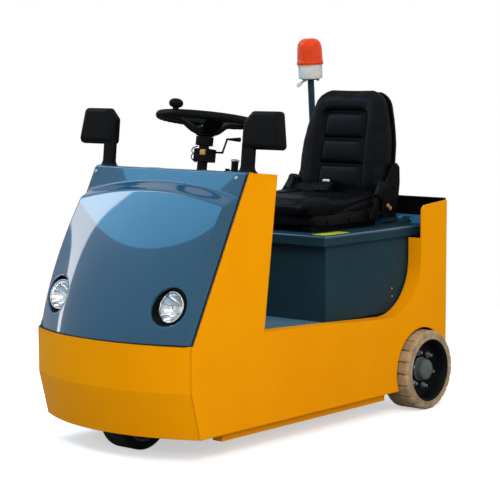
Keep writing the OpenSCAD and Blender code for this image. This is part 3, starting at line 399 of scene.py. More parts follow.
def front_shell():
    """The shell's face over a net of Y and Z, finer at its edges; the net inside a lamp hole is left out and
    the points round it are drawn on to the circle."""
    t = np.linspace(-1, 1, 213)
    y1 = SHELL_HALF * (0.55 * t + 0.45 * np.sin(np.pi / 2 * t))
    s = np.linspace(0, 1, 171)
    z1 = BUMPER_TOP + (COWL_Z - BUMPER_TOP) * (0.45 * s + 0.55 * np.sin(np.pi / 2 * s))
    z, y = np.meshgrid(z1, y1, indexing="ij")
    faces = lattice(*y.shape)
    yf, zf = y.ravel(), z.ravel()
    for side in (-1, 1):
        off = np.hypot(yf - side * LAMP_Y, zf - LAMP_Z)
        gone = np.hypot(yf[faces].mean(1) - side * LAMP_Y, zf[faces].mean(1) - LAMP_Z) < LAMP_HOLE
        rim = np.intersect1d(faces[gone], faces[~gone])
        pull = LAMP_HOLE / off[rim]
        yf[rim] = side * LAMP_Y + (yf[rim] - side * LAMP_Y) * pull
        zf[rim] = LAMP_Z + (zf[rim] - LAMP_Z) * pull
        faces = faces[~gone]
    used, faces = np.unique(faces, return_inverse=True)
    points = xyz(shell_face(yf, zf), yf, zf)[used]
    nets = [(points, faces.reshape(-1, 4))]
    # Each side edge turns back beside its panel
    depth = np.linspace(0, 14, 5)[:, None]
    for y in (-SHELL_HALF, SHELL_HALF):
        back = shell_face(y, z1) - depth
        nets.append(sheet(xyz(back, y, z1)))
    piece = make("front_shell_skin", nets, gel_coat, "front_shell")
    if piece.data.polygons[0].normal.x < 0:
        piece.data.flip_normals()
    wall = piece.modifiers.new("wall", "SOLIDIFY")
    wall.thickness, wall.offset = SHELL_WALL * MM, -1


def fastener(radius, height):
    """Profile of a low round screw head with a shallow drive recess."""
    return [(0, height * 0.55), (radius * 0.35, height * 0.55), (radius * 0.4, height),
            (radius * 0.7, height * 0.95), (radius * 0.95, height * 0.55), (radius, 0), (radius, -1), (0, -1)]


def hex_head(radius, height):
    """Profile of a hexagon head with a chamfered crown, to be turned in six steps."""
    return [(0, height), (radius * 0.82, height), (radius, height * 0.8), (radius, 0), (0, 0)]


def shell_fittings():
    """Two screws in the shell's band, and a black rubber bead in the joint round the shell: down one side
    edge, along the bumper and up the other side."""
    screws = [lathe(fastener(7, 4), (shell_face(y, z) - 0.5, y, z), (0.89, 0.0, 0.45), 28)
              for y, z in ((318, 927), (-341, 925))]
    make("shell_screws", screws, zinc_plate)
    up = np.linspace(BUMPER_TOP + 4, COWL_Z - 8, 40)
    across = np.linspace(-SHELL_HALF, SHELL_HALF, 81)
    side = xyz(shell_face(SHELL_HALF, up) + 1.2, SHELL_HALF, up)
    foot_x = shell_face(across * 0.98, BUMPER_TOP) - 0.4
    foot = xyz(foot_x, across, BUMPER_TOP + 1.6)
    path = np.concatenate([side[::-1] * [1, -1, 1], foot[1:-1], side])
    make("shell_gasket", [tube(path, circle(2.2, 10), (1, 0, 0.02))], black_rubber, slot="black_plastic")


LAMP_WAY, _ = leaning(np.radians(18))


def headlamps():
    """Round lamps set just behind the shell and leaning back with it: a black tunnel from the mouth, which
    follows the shell, to a rolled chrome ring; within the ring a bowl, a bulb shield and a domed glass."""
    steps, ring_r, bowl_r = 96, 53.6, 48.4
    black, bright, glass = [], [], []
    for side in (-1, 1):
        heart = (727.0, side * (LAMP_Y - 2), LAMP_Z - 1)

        def lamp(profile, steps=steps):
            return lathe(profile, heart, LAMP_WAY, steps, (0, 1, 0))
        shell_line, inner = ([side * LAMP_Y, LAMP_Z] + circle(LAMP_HOLE + gap, steps) for gap in (7, -0.3))
        mouth = np.column_stack([shell_face(*shell_line.T) - 8.0, inner])
        ring = set_at(turned([(ring_r, -4)], steps)[0], heart, LAMP_WAY, (0, 1, 0))
        k = np.linspace(0, 1, 8)[:, None, None]
        black.append(sheet(mouth * (1 - k) + ring * k, ring_cols=True))
        black.append(lamp([(ring_r, -4), (ring_r, -40), (44, -66), (30, -72), (0, -72)]))
        bright.append(lamp([(53.4, -5), (53.2, 0), (51.8, 2.6), (49.8, 2.6), (bowl_r, 0), (bowl_r, -6)]))
        bowl = np.linspace(0, bowl_r, 16)
        bright.append(lamp(np.stack([bowl, -46 + 42 * (bowl / bowl_r) ** 2], -1)))
        bright.append(lamp([(0, -12), (9, -14), (12, -20), (12, -42), (0, -42)], 40))
        dome = np.linspace(0, 48.6, 14)
        front = np.stack([dome, -1 + 13 * np.sqrt(np.clip(1 - (dome / 50) ** 2, 0, 1))], -1)
        glass.append(lamp(np.vstack([front, front[::-1] - [0, 3.0]])))
    make("headlamp_tunnels", black, moulded_black, "headlamp_buckets")
    make("headlamp_reflectors", bright, chrome)
    make("headlamp_glasses", glass, lamp_glass, "headlamp_lenses")


front_shell()
shell_fittings()
headlamps()


# ---- Steering ----
COLUMN_AHEAD, COLUMN_UP = leaning(np.radians(9))
# Carries points drawn about the steering wheel's centre, with Z up the column
at_wheel = place_at(WHEEL_CENTRE, COLUMN_UP, COLUMN_AHEAD)


def steering_wheel():
    """A round rim with grip scallops beneath; three spokes, each of two deep arms that climb from the hub and
    part round a window; a stepped hub on its shaft; the spinner knob and the hub's cap."""
    rim_r, grip_r, scallops = 165.0, 15.0, 36
    a, b = np.meshgrid(round_angles(216), round_angles(28), indexing="ij")
    under = np.clip(-np.sin(b), 0, 1) ** 2
    tube_r = grip_r - 0.9 * under * (0.5 + 0.5 * np.cos(scallops * a))
    ring = rim_r + tube_r * np.cos(b)
    nets = [sheet(at_wheel(xyz(ring * np.cos(a), ring * np.sin(a), tube_r * np.sin(b))), True, True)]
    arm = round_rect(24, 24, 7, 5)
    k = np.linspace(0, 1, 18)
    for turn in np.radians([60, 180, 300]):
        out, over = np.array([np.cos(turn), np.sin(turn), 0]), np.array([-np.sin(turn), np.cos(turn), 0])

        def spoke(reach, aside, size):
            height = -42 + 36 * ease(22, 108, reach) + 2 * ease(100, 160, reach)
            path = reach[:, None] * out + aside[:, None] * over + height[:, None] * [0, 0, 1]
            deep = (26 - 13 * ease(24, 108, reach)) / 24
            return tube(at_wheel(path), arm, COLUMN_UP, np.stack([size + 0 * deep, deep], -1))
        for way in (-1, 1):
            nets.append(spoke(24 + 136 * k, way * (11 + 18 * k), 1.3))
        nets.append(spoke(24 + 82 * k, 0 * k, 1.3 + 0.5 * k))
    hub = [(0, -24), (26, -25), (31, -27.5), (34, -32), (34, -46), (33, -57), (29, -59), (0, -59)]
    shaft = [(0, -58), (9.9, -58), (9.9, -178), (0, -178)]
    nets += [spun(hub, 64, at_wheel), spun(shaft, 32, at_wheel)]
    make("steering_wheel_skin", nets, moulded_black, "steering_wheel", body="steering")
    knob = [(0, 51.4), (8, 50.8), (14, 49), (20, 45.5), (24, 40.5), (25, 34.5), (24, 29), (21, 24.5),
            (16, 21.5), (11, 19.5), (10.4, 15), (10.8, 12.5), (0, 11.5)]
    knob_net = spun(knob, 48, lambda p: at_wheel(p + [rim_r, 0, 0]))
    make("spinner_knob_skin", [knob_net], moulded_black, "spinner_knob", body="steering")
    cap = [(0, -20.5), (12, -21), (17, -22.5), (18, -26), (0, -26)]
    make("hub_cap", [spun(cap, 40, at_wheel)], chrome, body="steering")


def column_fittings():
    """A contact block, its screws and two loops of wire on the column's switch."""
    def on_switch(*spot):
        return lambda p: at_wheel(set_at(p, spot, (1, 0, 0), (0, 1, 0)))
    block = slab(round_rect(20, 20, 2.5), 0, 10, 1.5, on_switch(23, 22, -118))
    make("column_contact_block", [block], brass_plate)
    screws = [spun(fastener(4, 3), 20, on_switch(24, y, z))
              for y, z in ((-14, -112), (-14, -141), (28, -141))]
    make("column_switch_screws", screws, chassis_enamel, slot="black_plastic")
    loop = np.array([(8, -22, 0), (18, -32, -6), (22, -36, -18), (14, -30, -30), (6, -22, -34)])
    loops = [tube(at_wheel(smooth_path(loop + [0, 0, top], 24)), circle(2.0, 10), (0.3, 0.2, 1))
             for top in (-96, -118)]
    make("column_wires", loops, moulded_black)


steering_wheel()
column_fittings()


# ---- Mirrors ----
COWL_AHEAD, COWL_UP = leaning(np.arctan2(COWL_FALL, COWL_LENGTH))


def cowl_spot(back, y):
    """A point of the sloping cowl, so far behind the front and so far to the left."""
    return np.array([FRONT_X - back, y, COWL_Z - COWL_FALL * (back - COWL_BACK) / COWL_LENGTH])


def rounded_hull(corners, radius, steps=80):
    """Outline that holds a circle at every corner: at each bearing, the point that lies furthest that way."""
    corners, way = np.asarray(corners, float), circle(1.0, steps)
    return corners[np.argmax(way @ corners.T, 1)] + radius * way


def mirrors():
    """Each mirror is one moulding: a round-edged head, narrower at the top and with its inner upper corner
    cut, on a flat arm with a flared foot. It is drawn with X outwards, Y up and Z forward, and stood on the
    cowl."""
    depth = np.array([-17, -16.5, -12, -4, 3, 8, 12, 15, 16.6, 17])
    inset = np.array([3.0, 1.0, 0.0, 0.0, 1.0, 3.0, 6.0, 10.0, 15.0, 21.0])
    rings = []
    for d, i in zip(depth, inset):
        low, right, top = 14 + i, 162 - i, 114 - i
        outline = rounded_hull([(low, low), (right, low), (right - 16, top), (low + 28, top),
                                (low, top - 28)], 14)
        rings.append(np.column_stack([outline[:, 0], outline[:, 1] + 78, np.full(len(outline), d)]))
    k = np.linspace(0, 1, 14)
    flare = 1 + 0.16 * (1 - ease(0, 0.22, k)) + 0.3 * (1 - ease(0, 0.1, k))
    arm = carried(xyz(27, 0.3 + 96 * k, 0), round_rect(54, 19, 6, 6), (0, 0, 1), flare)
    nets = []
    for side in (-1, 1):
        def on_cowl(points):
            return cowl_spot(318, side * 298) + points @ np.stack([[0, side, 0], COWL_UP, COWL_AHEAD])
        nets += [closed(np.array(rings), on_cowl), closed(arm, on_cowl)]
    make("mirror_housings", nets, moulded_black, "mirror_arms")


mirrors()


# ---- Beacon ----
POLE_AHEAD, POLE_UP = leaning(-np.radians(4))
# Carries points drawn about the top of the beacon's pole
at_beacon = place_at(POLE_FOOT + POLE_LENGTH * POLE_UP, POLE_UP, POLE_AHEAD)


def beacon():
    """A fluted red dome on a white base, both turned; inside, a bright reflector and its lamp."""
    lift, wall, flutes = 57.0, 2.6, 36
    t = np.linspace(0, np.pi / 2, 12)
    h = np.concatenate([[0, 3, 10, 12.5, 15.5, 18, 30, 45, 58], 70 + 34 * np.sin(t), [104.0]])
    r = np.concatenate([[52.8, 53.5, 53.5, 52.8, 51.2, 50.8, 50.2, 49.5, 48.9], 14 + 34 * np.cos(t), [0.0]])
    a = round_angles(288)
    flute = 0.5 * np.cos(flutes * a) * ease(14, 22, h)[:, None] * (1 - ease(66, 84, h))[:, None]
    # The inner face follows the outer one back to the rim, a wall's thickness inside it
    radius = np.concatenate([r[:, None] + flute, np.clip(r - wall, 0, None)[::-1, None] + 0 * flute])
    level = np.concatenate([h, np.minimum(h, h.max() - wall)[::-1]])
    dome = xyz(radius * np.cos(a), radius * np.sin(a), level[:, None] + lift)
    dome_net = sheet(at_beacon(dome), ring_rows=True, ring_cols=True)
    make("beacon_dome_skin", [dome_net], beacon_red, "beacon_dome")
    base = [(0, 57), (49, 57), (49.2, 54), (48.6, 52), (48, 20), (47.4, 6), (46, 2), (43, 0), (0, 0)]
    make("beacon_base_skin", [spun(base, 72, at_beacon)], white_abs, "beacon_base")
    cup = [(0, 62), (10, 63), (20, 68), (29, 78), (34, 92), (35.5, 92), (30, 76), (20, 65), (9, 60), (9, 57),
           (0, 57)]
    make("beacon_reflector", [spun(cup, 56, at_beacon)], chrome)
    bulb = [(0, 118), (5, 116.5), (8.5, 112), (9, 106), (7, 98), (5, 92), (5, 62), (0, 62)]
    make("beacon_bulb", [spun(bulb, 32, at_beacon)], white_abs)
    # A bare plate lies round the base, and a gland with its plug hangs below it
    across, up = np.meshgrid(np.linspace(-0.45, 0.45, 17), np.linspace(0, 1, 4), indexing="ij")
    out = 48.5 + 0.8 * ease(0, 0.06, 0.5 - np.abs(up - 0.5)) * ease(0, 0.05, 0.45 - np.abs(across))
    bearing = np.radians(14) + across
    plate = xyz(out * np.cos(bearing), out * np.sin(bearing), 20 + 28 * up)
    make("beacon_plate", [sheet(at_beacon(plate))], white_abs)
    stem = smooth_path([(14, -17, 1), (18, -21, -8), (26, -31, -17)], 10)
    plug = smooth_path([(24, -29, -15), (36, -42, -28)], 8)
    gland = [closed(carried(stem, circle(4.5, 20), (1, 1, 0)), at_beacon),
             closed(carried(plug, round_rect(15, 13, 3), (1, 1, 0), np.linspace(0.9, 1, 8)), at_beacon)]
    make("beacon_gland", gland, white_abs)
    t = np.radians([110, 230, 350])
    spots = xyz(30 * np.cos(t), 30 * np.sin(t), -4)
    bolts = [spun(hex_head(6, 5), 6, lambda p: at_beacon(set_at(p, spot, (0, 0, -1)))) for spot in spots]
    make("beacon_bolts", bolts, zinc_plate, crease=30)


beacon()


# ---- Seat ----
BACK_AHEAD, BACK_UP = leaning(np.radians(10))
# Carries points drawn about the backrest's foot, with X ahead of it and Z up it
at_back = place_at(BACK_FOOT, BACK_UP, BACK_AHEAD)


def points_of(mesh):
    """A mesh's points, as rows of three."""
    flat = np.empty(len(mesh.vertices) * 3)
    mesh.vertices.foreach_get("co", flat)
    return flat.reshape(-1, 3)


def evaluated(piece):
    """The piece with its modifiers worked out."""
    return piece.evaluated_get(bpy.context.evaluated_depsgraph_get())


def swollen(piece, cap, kept_axes):
    """A pad blown up as cloth, as points in millimetres: its mesh is remade in even cells and swelled by air
    with no weight, and no point goes further than cap; along kept_axes it is stretched back to the length it
    was cut to, since air draws its edges in."""
    cell, air, frames = 5.0, 4.0, 20
    remesh = piece.modifiers.new("cells", "REMESH")
    remesh.mode, remesh.voxel_size = "VOXEL", cell * MM
    even = bpy.data.meshes.new_from_object(evaluated(piece))
    piece.modifiers.clear()
    old, piece.data = piece.data, even
    bpy.data.meshes.remove(old)
    cut = points_of(even)
    cloth = piece.modifiers.new("air", "CLOTH")
    cloth.settings.use_pressure = True
    cloth.settings.uniform_pressure_force = air
    cloth.settings.quality = 5
    cloth.settings.effector_weights.gravity = 0
    cloth.point_cache.frame_start, cloth.point_cache.frame_end = 1, frames
    for f in range(1, frames + 1):
        scene.frame_set(f)
    move = points_of(evaluated(piece).to_mesh()) - cut
    evaluated(piece).to_mesh_clear()
    piece.modifiers.clear()
    scene.frame_set(1)
    far = np.linalg.norm(move, axis=1, keepdims=True)
    blown = cut + move * np.minimum(1, cap * MM / np.maximum(far, 1e-9))
    for k in kept_axes:
        was, wanted = ([p[:, k].min(), p[:, k].max()] for p in (blown, cut))
        blown[:, k] = np.interp(blown[:, k], was, wanted)
    return blown / MM


def finish_pad(piece, points):
    """Puts a pad's last points back, in metres, and rounds it with one subdivision."""
    piece.data.vertices.foreach_set("co", (points * MM).ravel())
    piece.data.update()
    piece.data.shade_smooth()
    if not piece.data.materials:
        piece.data.materials.append(seat_vinyl)
    soft = piece.modifiers.new("round", "SUBSURF")
    soft.levels = soft.render_levels = 1


def box_distance(x, y, half_x, half_y, radius):
    """Distance outside (above 0) or inside (below 0) a rectangle with round corners, centred on the
    origin."""
    qx, qy = np.abs(x) - half_x + radius, np.abs(y) - half_y + radius
    return np.hypot(np.maximum(qx, 0), np.maximum(qy, 0)) + np.minimum(np.maximum(qx, qy), 0) - radius


def squarish(steps, power_y, power_z):
    """A circle's two ways, each raised to a power below 1, so that the oval fills its corners."""
    a = round_angles(steps)
    return [np.sign(w) * np.abs(w) ** power for w, power in ((np.cos(a), power_y), (np.sin(a), power_z))]


def quarter(over, reach, least=0.0):
    """1 where over is below 0, then down a quarter ellipse of this reach; its square stops at least."""
    return np.sqrt(np.clip(1 - (over.clip(0) / reach) ** 2, least, 1))


BACK_LEVELS = [0, 60, 122, 176, 250, 300, 350, 400, 460]


def seat_back():
    """Backrest foam: rings up its height, each a squarish oval whose half width narrows to a round top; after
    it is swollen, a panel is let in at the front with two cross channels, between fuller bolsters."""
    h = np.concatenate([[4, 7, 14, 26], np.linspace(44, 396, 28), [408, 420, 431, 440, 446, 451, 454]])
    wide = np.interp(h, BACK_LEVELS, [188, 198, 203, 206, 201, 192, 179, 163, 148])
    wide = wide - 70 * (1 - quarter(h - 396, 60)) - 14 * (1 - ease(0, 26, h))
    thick = np.interp(h, [0, 80, 250, 400, 454], [30, 36, 36, 31, 20])
    thick = thick * quarter(h - 416, 40, 0.05) * (0.55 + 0.45 * ease(0, 24, h))
    cy, cx = squarish(96, 0.45, 0.45)
    rings = xyz(-25 + thick[:, None] * cx, wide[:, None] * cy, h[:, None])
    piece = make("seat_back_foam", [closed(rings, at_back)], seat_vinyl, "seat_back", body="lid")
    p = swollen(piece, 9.0, (1, 2))
    local = (p - BACK_FOOT) @ np.stack([BACK_AHEAD, [0, 1, 0], BACK_UP]).T
    x, y, z = local.T
    front = ease(-26, -8, x)
    panel = box_distance(y, z - 190, 104 - 0.035 * (z - 190), 180, 26)
    inside = ease(4, -6, panel)
    channel = 13.0 * np.exp(-(panel / 9.0) ** 2)
    for level in (162, 261):
        channel = np.maximum(channel, 12.0 * np.exp(-((z - level) / 7.0) ** 2) * inside)
    crown = np.maximum.reduce([np.clip(1 - ((z - m) / 47.0) ** 2, 0, 1) for m in (112, 211.5, 315)])
    crown = crown * np.clip(1 - (y / 116) ** 4, 0, 1)
    bolster = 7.0 * ease(98, 132, np.abs(y)) * ease(30, 110, z) * (1 - 0.6 * ease(320, 420, z))
    # Its sides stop at the recliner brackets
    local[:, 1] = np.where(z < 190, np.clip(y, -207.0, 207.0), y)
    local[:, 0] = x + front * (bolster - channel - inside * (9.0 - 8.0 * crown))
    finish_pad(piece, at_back(local))


def seat_back_shell():
    """Hard shell behind the backrest's foam and a groove: at each height, half an oval closed across its
    front."""
    h = np.concatenate([[2, 5, 12], np.linspace(30, 396, 24), [410, 424, 436, 445, 450, 453]])
    wide = np.interp(h, BACK_LEVELS, [190, 201, 206, 207.5, 203, 194, 182, 167, 152])
    wide = wide - 64 * (1 - quarter(h - 400, 56)) - 10 * (1 - ease(0, 16, h))
    depth = np.interp(h, [0, 40, 250, 400, 453], [14, 23, 23, 19, 7])
    b = np.linspace(0, np.pi, 41)
    across = wide[:, None] * np.cos(b) * (1 - 0.05 * np.sin(b))
    back = xyz(-61 - depth[:, None] * np.sin(b) ** 0.5, across, h[:, None])

    def line(x, y):
        return xyz(x, y, h)[:, None]
    net = np.concatenate([line(-57, wide - 3), back, line(-57, 3 - wide), line(-60, 0)], 1)
    make("seat_back_shell", [closed(net, at_back)], moulded_black, body="lid")


def seat_cushion():
    """Cushion foam: rings from front to back, each a squarish oval; the front rolls down, the sides stand up
    as bolsters towards the hips, and a shallow panel is let in between them after it is swollen."""
    s = np.concatenate([[1, 2, 4, 7, 11, 16, 23, 32, 42], np.linspace(54, 344, 25),
                        [358, 370, 378, 383, 386]])
    wide = np.interp(s, [0, 90, 260, 392], [206, 209, 211, 206])
    wide = wide - 84 * (1 - quarter(90 - s, 90)) - 10 * ease(364, 388, s)
    top, low = np.interp(s, [0, 30, 90, 200, 320, 392], [800, 807, 813, 808, 809, 816]), 738.0
    # The front is an upright half ellipse, 30 deep
    middle, half = (top + low) / 2, (top - low) / 2 * (0.1 + 0.9 * quarter(30 - s, 30))
    cy, cz = squarish(112, 0.42, 0.5)
    side = np.abs(cy) ** 6 * ease(0, 1, cz + 0.6)
    raised = 10 * ease(0, 60, s) + 16 * ease(120, 380, s)
    z = middle[:, None] + half[:, None] * cz + side * raised[:, None]
    rings = xyz((SEAT_FRONT - s)[:, None], wide[:, None] * cy, z)
    piece = make("seat_cushion_foam", [closed(rings)], seat_vinyl, "seat_cushion", body="lid")
    p = swollen(piece, 8.0, (0, 1))
    x, y, z = p.T
    run = SEAT_FRONT - x
    upper = ease(780, 796, z)
    panel = box_distance(run - 208, y, 194, 128, 40)
    channel = 9.0 * np.exp(-(panel / 7.0) ** 2)
    for level in (150, 262):
        channel = np.maximum(channel, 7.0 * np.exp(-((run - level) / 6.5) ** 2) * ease(4, -6, panel))
    # A seam runs along each side, low at the front and rising to the hips
    seam = 760 + 42 * ease(60, 392, run)
    flank = ease(170, 200, np.abs(y))
    let_in = np.maximum(z - upper * (channel + 3.0 * ease(4, -10, panel)), 736.0)
    drawn_in = y - np.sign(y) * 3.5 * flank * np.exp(-((let_in - seam) / 4.0) ** 2)
    finish_pad(piece, np.column_stack([x, drawn_in, let_in]))


def seat_pan():
    """Hard pan under the cushion: a skirt round its sides that follows the foam's lower edge up to the
    hips."""
    turn = np.linspace(0, np.pi / 2, 16)
    side = np.stack([np.linspace(-486, -196, 24), np.full(24, -207.0)], -1)
    corner = np.stack([-190 + 80 * np.sin(turn), -127 - 80 * np.cos(turn)], -1)
    front = np.stack([-110 + 4 * np.cos(np.linspace(-1.5, 1.5, 17)), np.linspace(-118, 118, 17)], -1)
    half = np.concatenate([side, corner])
    path = np.concatenate([half, front, half[::-1] * [1, -1]])
    low, high = 716.0, 752 + 32 * ease(60, 392, SEAT_FRONT - path[:, 0])
    rows = [np.column_stack([path * [1, k], z + 0 * high])
            for k, z in ((1, low), (1, high - 2), (0.995, high), (0.975, high - 1), (0.97, low))]
    make("seat_pan_skirt", [sheet(np.array(rows), ring_rows=True)], moulded_black, body="lid")


def on_edge(points):
    """A plate drawn lying flat, stood on edge along the tractor: its Y becomes Z, and its height becomes
    Y."""
    return points[..., [0, 2, 1]]


def seat_fittings():
    """Recliner and slide bolts, the belt's buckle with its white bar, its strap, guard, latch and retractor
    plate."""
    bolts = [lathe(hex_head(8, 6), (x, side * 217.2, z), (0, side, 0), 6)
             for side in (-1, 1) for x, z in ((-526, 768), (-541, 757))]
    make("recliner_bolts", bolts, brass_plate, body="lid", crease=30)
    studs = [lathe(hex_head(6, 5), (x, side * 207.5, 727), (0, side, 0), 6)
             for side in (-1, 1) for x in (-170, -300, -420)]
    make("slide_bolts", studs, chassis_enamel, body="lid", slot="black_plastic", crease=30)
    strap_path = smooth_path([(-462, -206, 818), (-474, -160, 826), (-480, -100, 828), (-482, -54, 828)], 24)
    strap = tube(strap_path, round_rect(42, 2.4, 1.0, 3), (0.75, 0, 0.66))
    make("belt_strap", [strap], webbing, body="lid")
    # Outside the seat: on the right the retractor's guard, on the left a stalk with the latch leaning back
    guard = rounded_hull([(-352, 722), (-510, 722), (-524, 798), (-534, 826), (-500, 864), (-490, 862),
                          (-456, 814), (-424, 752)], 3.0, 120)
    head = rounded_hull([(-452, 822), (-512, 818), (-528, 836), (-494, 872), (-484, 870)], 3.0, 60)
    latch = slab(round_rect(40, 66, 8), -9, 9, 5, place_at((-462, 231, 830), (0, 1, 0), (0.866, 0, 0.5)))
    stalk_path = np.array([-404.0, 228, 722]) + np.linspace(0, 92, 12)[:, None] * [-0.5, 0, 0.866]
    nets = [slab(guard, -232.4, -220.6, 3, on_edge), slab(head, -228, -197, 3, on_edge), latch,
            tube(stalk_path, round_rect(24, 6, 2.5, 4), (0, 1, 0))]
    make("belt_guard_and_latch", nets, moulded_black, "seat_belt", body="lid")
    lean = (0.55, 0, 0.83)
    buckle = slab(round_rect(66, 58, 10), 0, 26, 6, place_at((-464, -32, 818), lean, (0, 1, 0)))
    make("belt_buckle", [buckle], moulded_black, body="lid")
    bar = slab(round_rect(34, 9, 3), 0, 7, 2, place_at((-468, -32, 853), lean, (0, 1, 0)))
    make("belt_release_bar", [bar], white_abs, body="lid")
    plate = rounded_hull([(-494, 870), (-485, 868), (-500, 836), (-524, 828), (-527, 837)], 3.0, 60)
    make("retractor_plate", [slab(plate, -197.4, -195.6, 0.6, on_edge)], zinc_plate, body="lid")


seat_back()
seat_back_shell()
seat_cushion()
seat_pan()
seat_fittings()


# ---- Wheels ----
def rear_tyre(name, side, body, node):
    """A solid tyre: its section, a band with round shoulders, goes round the axle; 20 cuts run in from the
    inner edge over the tread and stop short of the outer shoulder, with small nicks in that shoulder."""
    half, r_out, r_in, cuts = 60.0, 150.0, 118.0, 20
    q = np.linspace(0, 1, 60)
    knots = [0, 0.18, 0.26, 0.74, 0.82, 1]
    across = np.interp(q, knots, [-half, -half, -half + 9, half - 9, half, half])
    radius = np.interp(q, knots, [r_in, r_out - 9, r_out, r_out, r_out - 9, r_in])
    bend = np.interp(q, [0.14, 0.22, 0.30], [0, 1, 0]) + np.interp(q, [0.70, 0.78, 0.86], [0, 1, 0])
    radius = np.minimum(radius + 1.6 * bend, r_out)[:, None]
    across = across[:, None]
    a = round_angles(cuts * 24)
    phase = np.abs((a * cuts / (2 * np.pi) + 0.5) % 1 - 0.5) * (2 * np.pi * r_out / cuts)
    depth = 9.0 * ease(half - 10, half - 22, across) * ease(128, 140, radius) * (1 - ease(2.2, 4.4, phase))
    nick = 4.5 * ease(half - 16, half - 6, across) * ease(134, 146, radius) * (1 - ease(2.5, 7.0, phase))
    bulge = 1.4 * np.sin(np.pi * np.clip((radius - r_in) / 30, 0, 1)) * (np.abs(across) > half - 0.5)
    r = radius - depth - nick
    w = side * (across - bulge * np.sign(across))
    ring = xyz(r * np.cos(a), w, r * np.sin(a))
    centre = REAR_AXLE * [1, side, 1]
    make(name, [sheet(centre + ring, ring_cols=True)], tan_rubber, node, body=body, crease=50)


def rear_wheel(name, side, body, node):
    """A pressed wheel: a barrel with rolled lips, a recessed disc with a raised ring, a cast hub with its
    cap, and six nuts, each on its stud and washer."""
    centre = REAR_AXLE * [1, side, 1]
    out = (0, side, 0)
    disc = [(20, 0), (46, 2), (50, 13), (92, 13), (100, 16), (105, 28), (108, 50), (111, 55), (115, 57),
            (117.8, 56), (117.8, -56), (107, -56), (106, 2), (98, 5), (52, 4), (48, -42), (20, -42)]
    make(name + "_wheel", [lathe(disc, centre, out, 96)], wheel_enamel, node, body=body, crease=28)
    hub = [(0, 48), (16, 47.8), (30, 47), (36, 45), (39, 41), (40, 36), (40.5, 22), (44, 19), (46, 16),
           (46, 12), (0, 12)]
    make(name + "_hub", [lathe(hub, centre, out, 64)], cast_iron, body=body, crease=30)
    stud = [(0, 20), (4.5, 20), (5.5, 18.5), (5.5, 10), (0, 10)]
    washer = [(0, 1.6), (12.5, 1.6), (12.5, 0), (0, 0)]
    nuts = []
    for t in np.arange(6) * np.pi / 3 + np.radians(15):
        spot = centre + 68 * np.array([np.cos(t), 0, np.sin(t)]) + [0, side * 13, 0]
        nuts += [lathe(form, spot, out, steps)
                 for form, steps in ((hex_head(10.0, 12), 6), (stud, 20), (washer, 28))]
    make(name + "_nuts", nuts, zinc_plate, body=body, crease=30)


def wheel_liners():
    """A thin sheet rolled over each rear wheel behind its arch, 14 mm clear of the tyre."""
    a = np.radians(np.linspace(-15, 160, 60))
    nets = []
    for side in (-1, 1):
        ring = [REAR_AXLE * [1, 0, 1] + xyz(r * np.cos(a), side * y, r * np.sin(a))
                for r, y in ((164, 300), (164, 354), (166, 354), (166, 300))]
        nets.append(closed(np.array(ring).transpose(1, 0, 2)))
    make("wheel_liners", nets, chassis_enamel)


wheel_liners()
for side, word in ((1, "left"), (-1, "right")):
    rear_tyre("rear_tread_" + word, side, "rear_wheel_" + word, "rear_tyre_" + word)
    rear_wheel("rear_" + word, side, "rear_wheel_" + word, "rear_rim_" + word)


# ---- Small fittings ----
def lid_fittings():
    """A rolled edge round the front and sides of the lid, and a marker strip laid on it."""
    corner = np.linspace(0, np.pi / 2, 9)
    bend = np.stack([-22.5 - 6 + 6 * np.sin(corner), 301.5 - 6 + 6 * np.cos(corner)], -1)
    run = np.concatenate([[(-668, 301.5)], bend, bend[::-1] * [1, -1], [(-668, -301.5)]])
    roll = tube(np.column_stack([run, np.full(len(run), 687.5)]), circle(5.0, 24))
    # Its lacquer is painted lighter and bluer than the lid: a painted highlight along the edge
    make("lid_edge_roll", [roll], slate_lacquer_painted_highlight, body="lid")
    strip = slab(round_rect(150, 58, 3), 0, 0.6, 0.2, lambda p: p + [-146, 240, 691])
    make("lid_marker_strip", [strip], marker_film, body="lid")


def dash_fittings():
    """On the cowl, a push button in its collar, and a gauge with its bezel, face and needle."""
    button, gauge = cowl_spot(350, 240), cowl_spot(388, -170)
    bezel = lathe([(27, 3.4), (29, 4.2), (31.2, 4), (32, 2.4), (32, 0.2), (0, 0.2)], gauge, COWL_UP, 56)
    ring = lathe([(12.8, 41), (14.6, 40.4), (15.2, 38), (14.6, 35.6), (12.8, 35)], button, COWL_UP, 40)
    make("dash_rings", [bezel, ring], zinc_plate)
    collar = lathe([(12.2, 35), (12.2, 6), (17.5, 6), (19, 4), (19, 0.2), (0, 0.2)], button, COWL_UP, 40)
    crown = lathe([(0, 43.6), (8, 43.2), (12, 41.6), (13.4, 38.5), (13.4, 35), (11.8, 33.5), (0, 33.5)],
                  button, COWL_UP, 40)
    make("dash_button", [collar, crown], moulded_black)
    dial = lathe([(0, 3.4), (27, 3.4), (27, 2.9), (0, 2.9)], gauge, COWL_UP, 48)
    make("gauge_face", [dial], white_abs)
    at_pivot = place_at(gauge + COWL_UP * 3.7 + COWL_AHEAD * 6, COWL_UP, COWL_AHEAD + [0, 0.5, 0])
    needle = slab(round_rect(20, 2.2, 1), 0, 0.8, 0.3, at_pivot)
    make("gauge_needle", [needle], tail_acrylic)


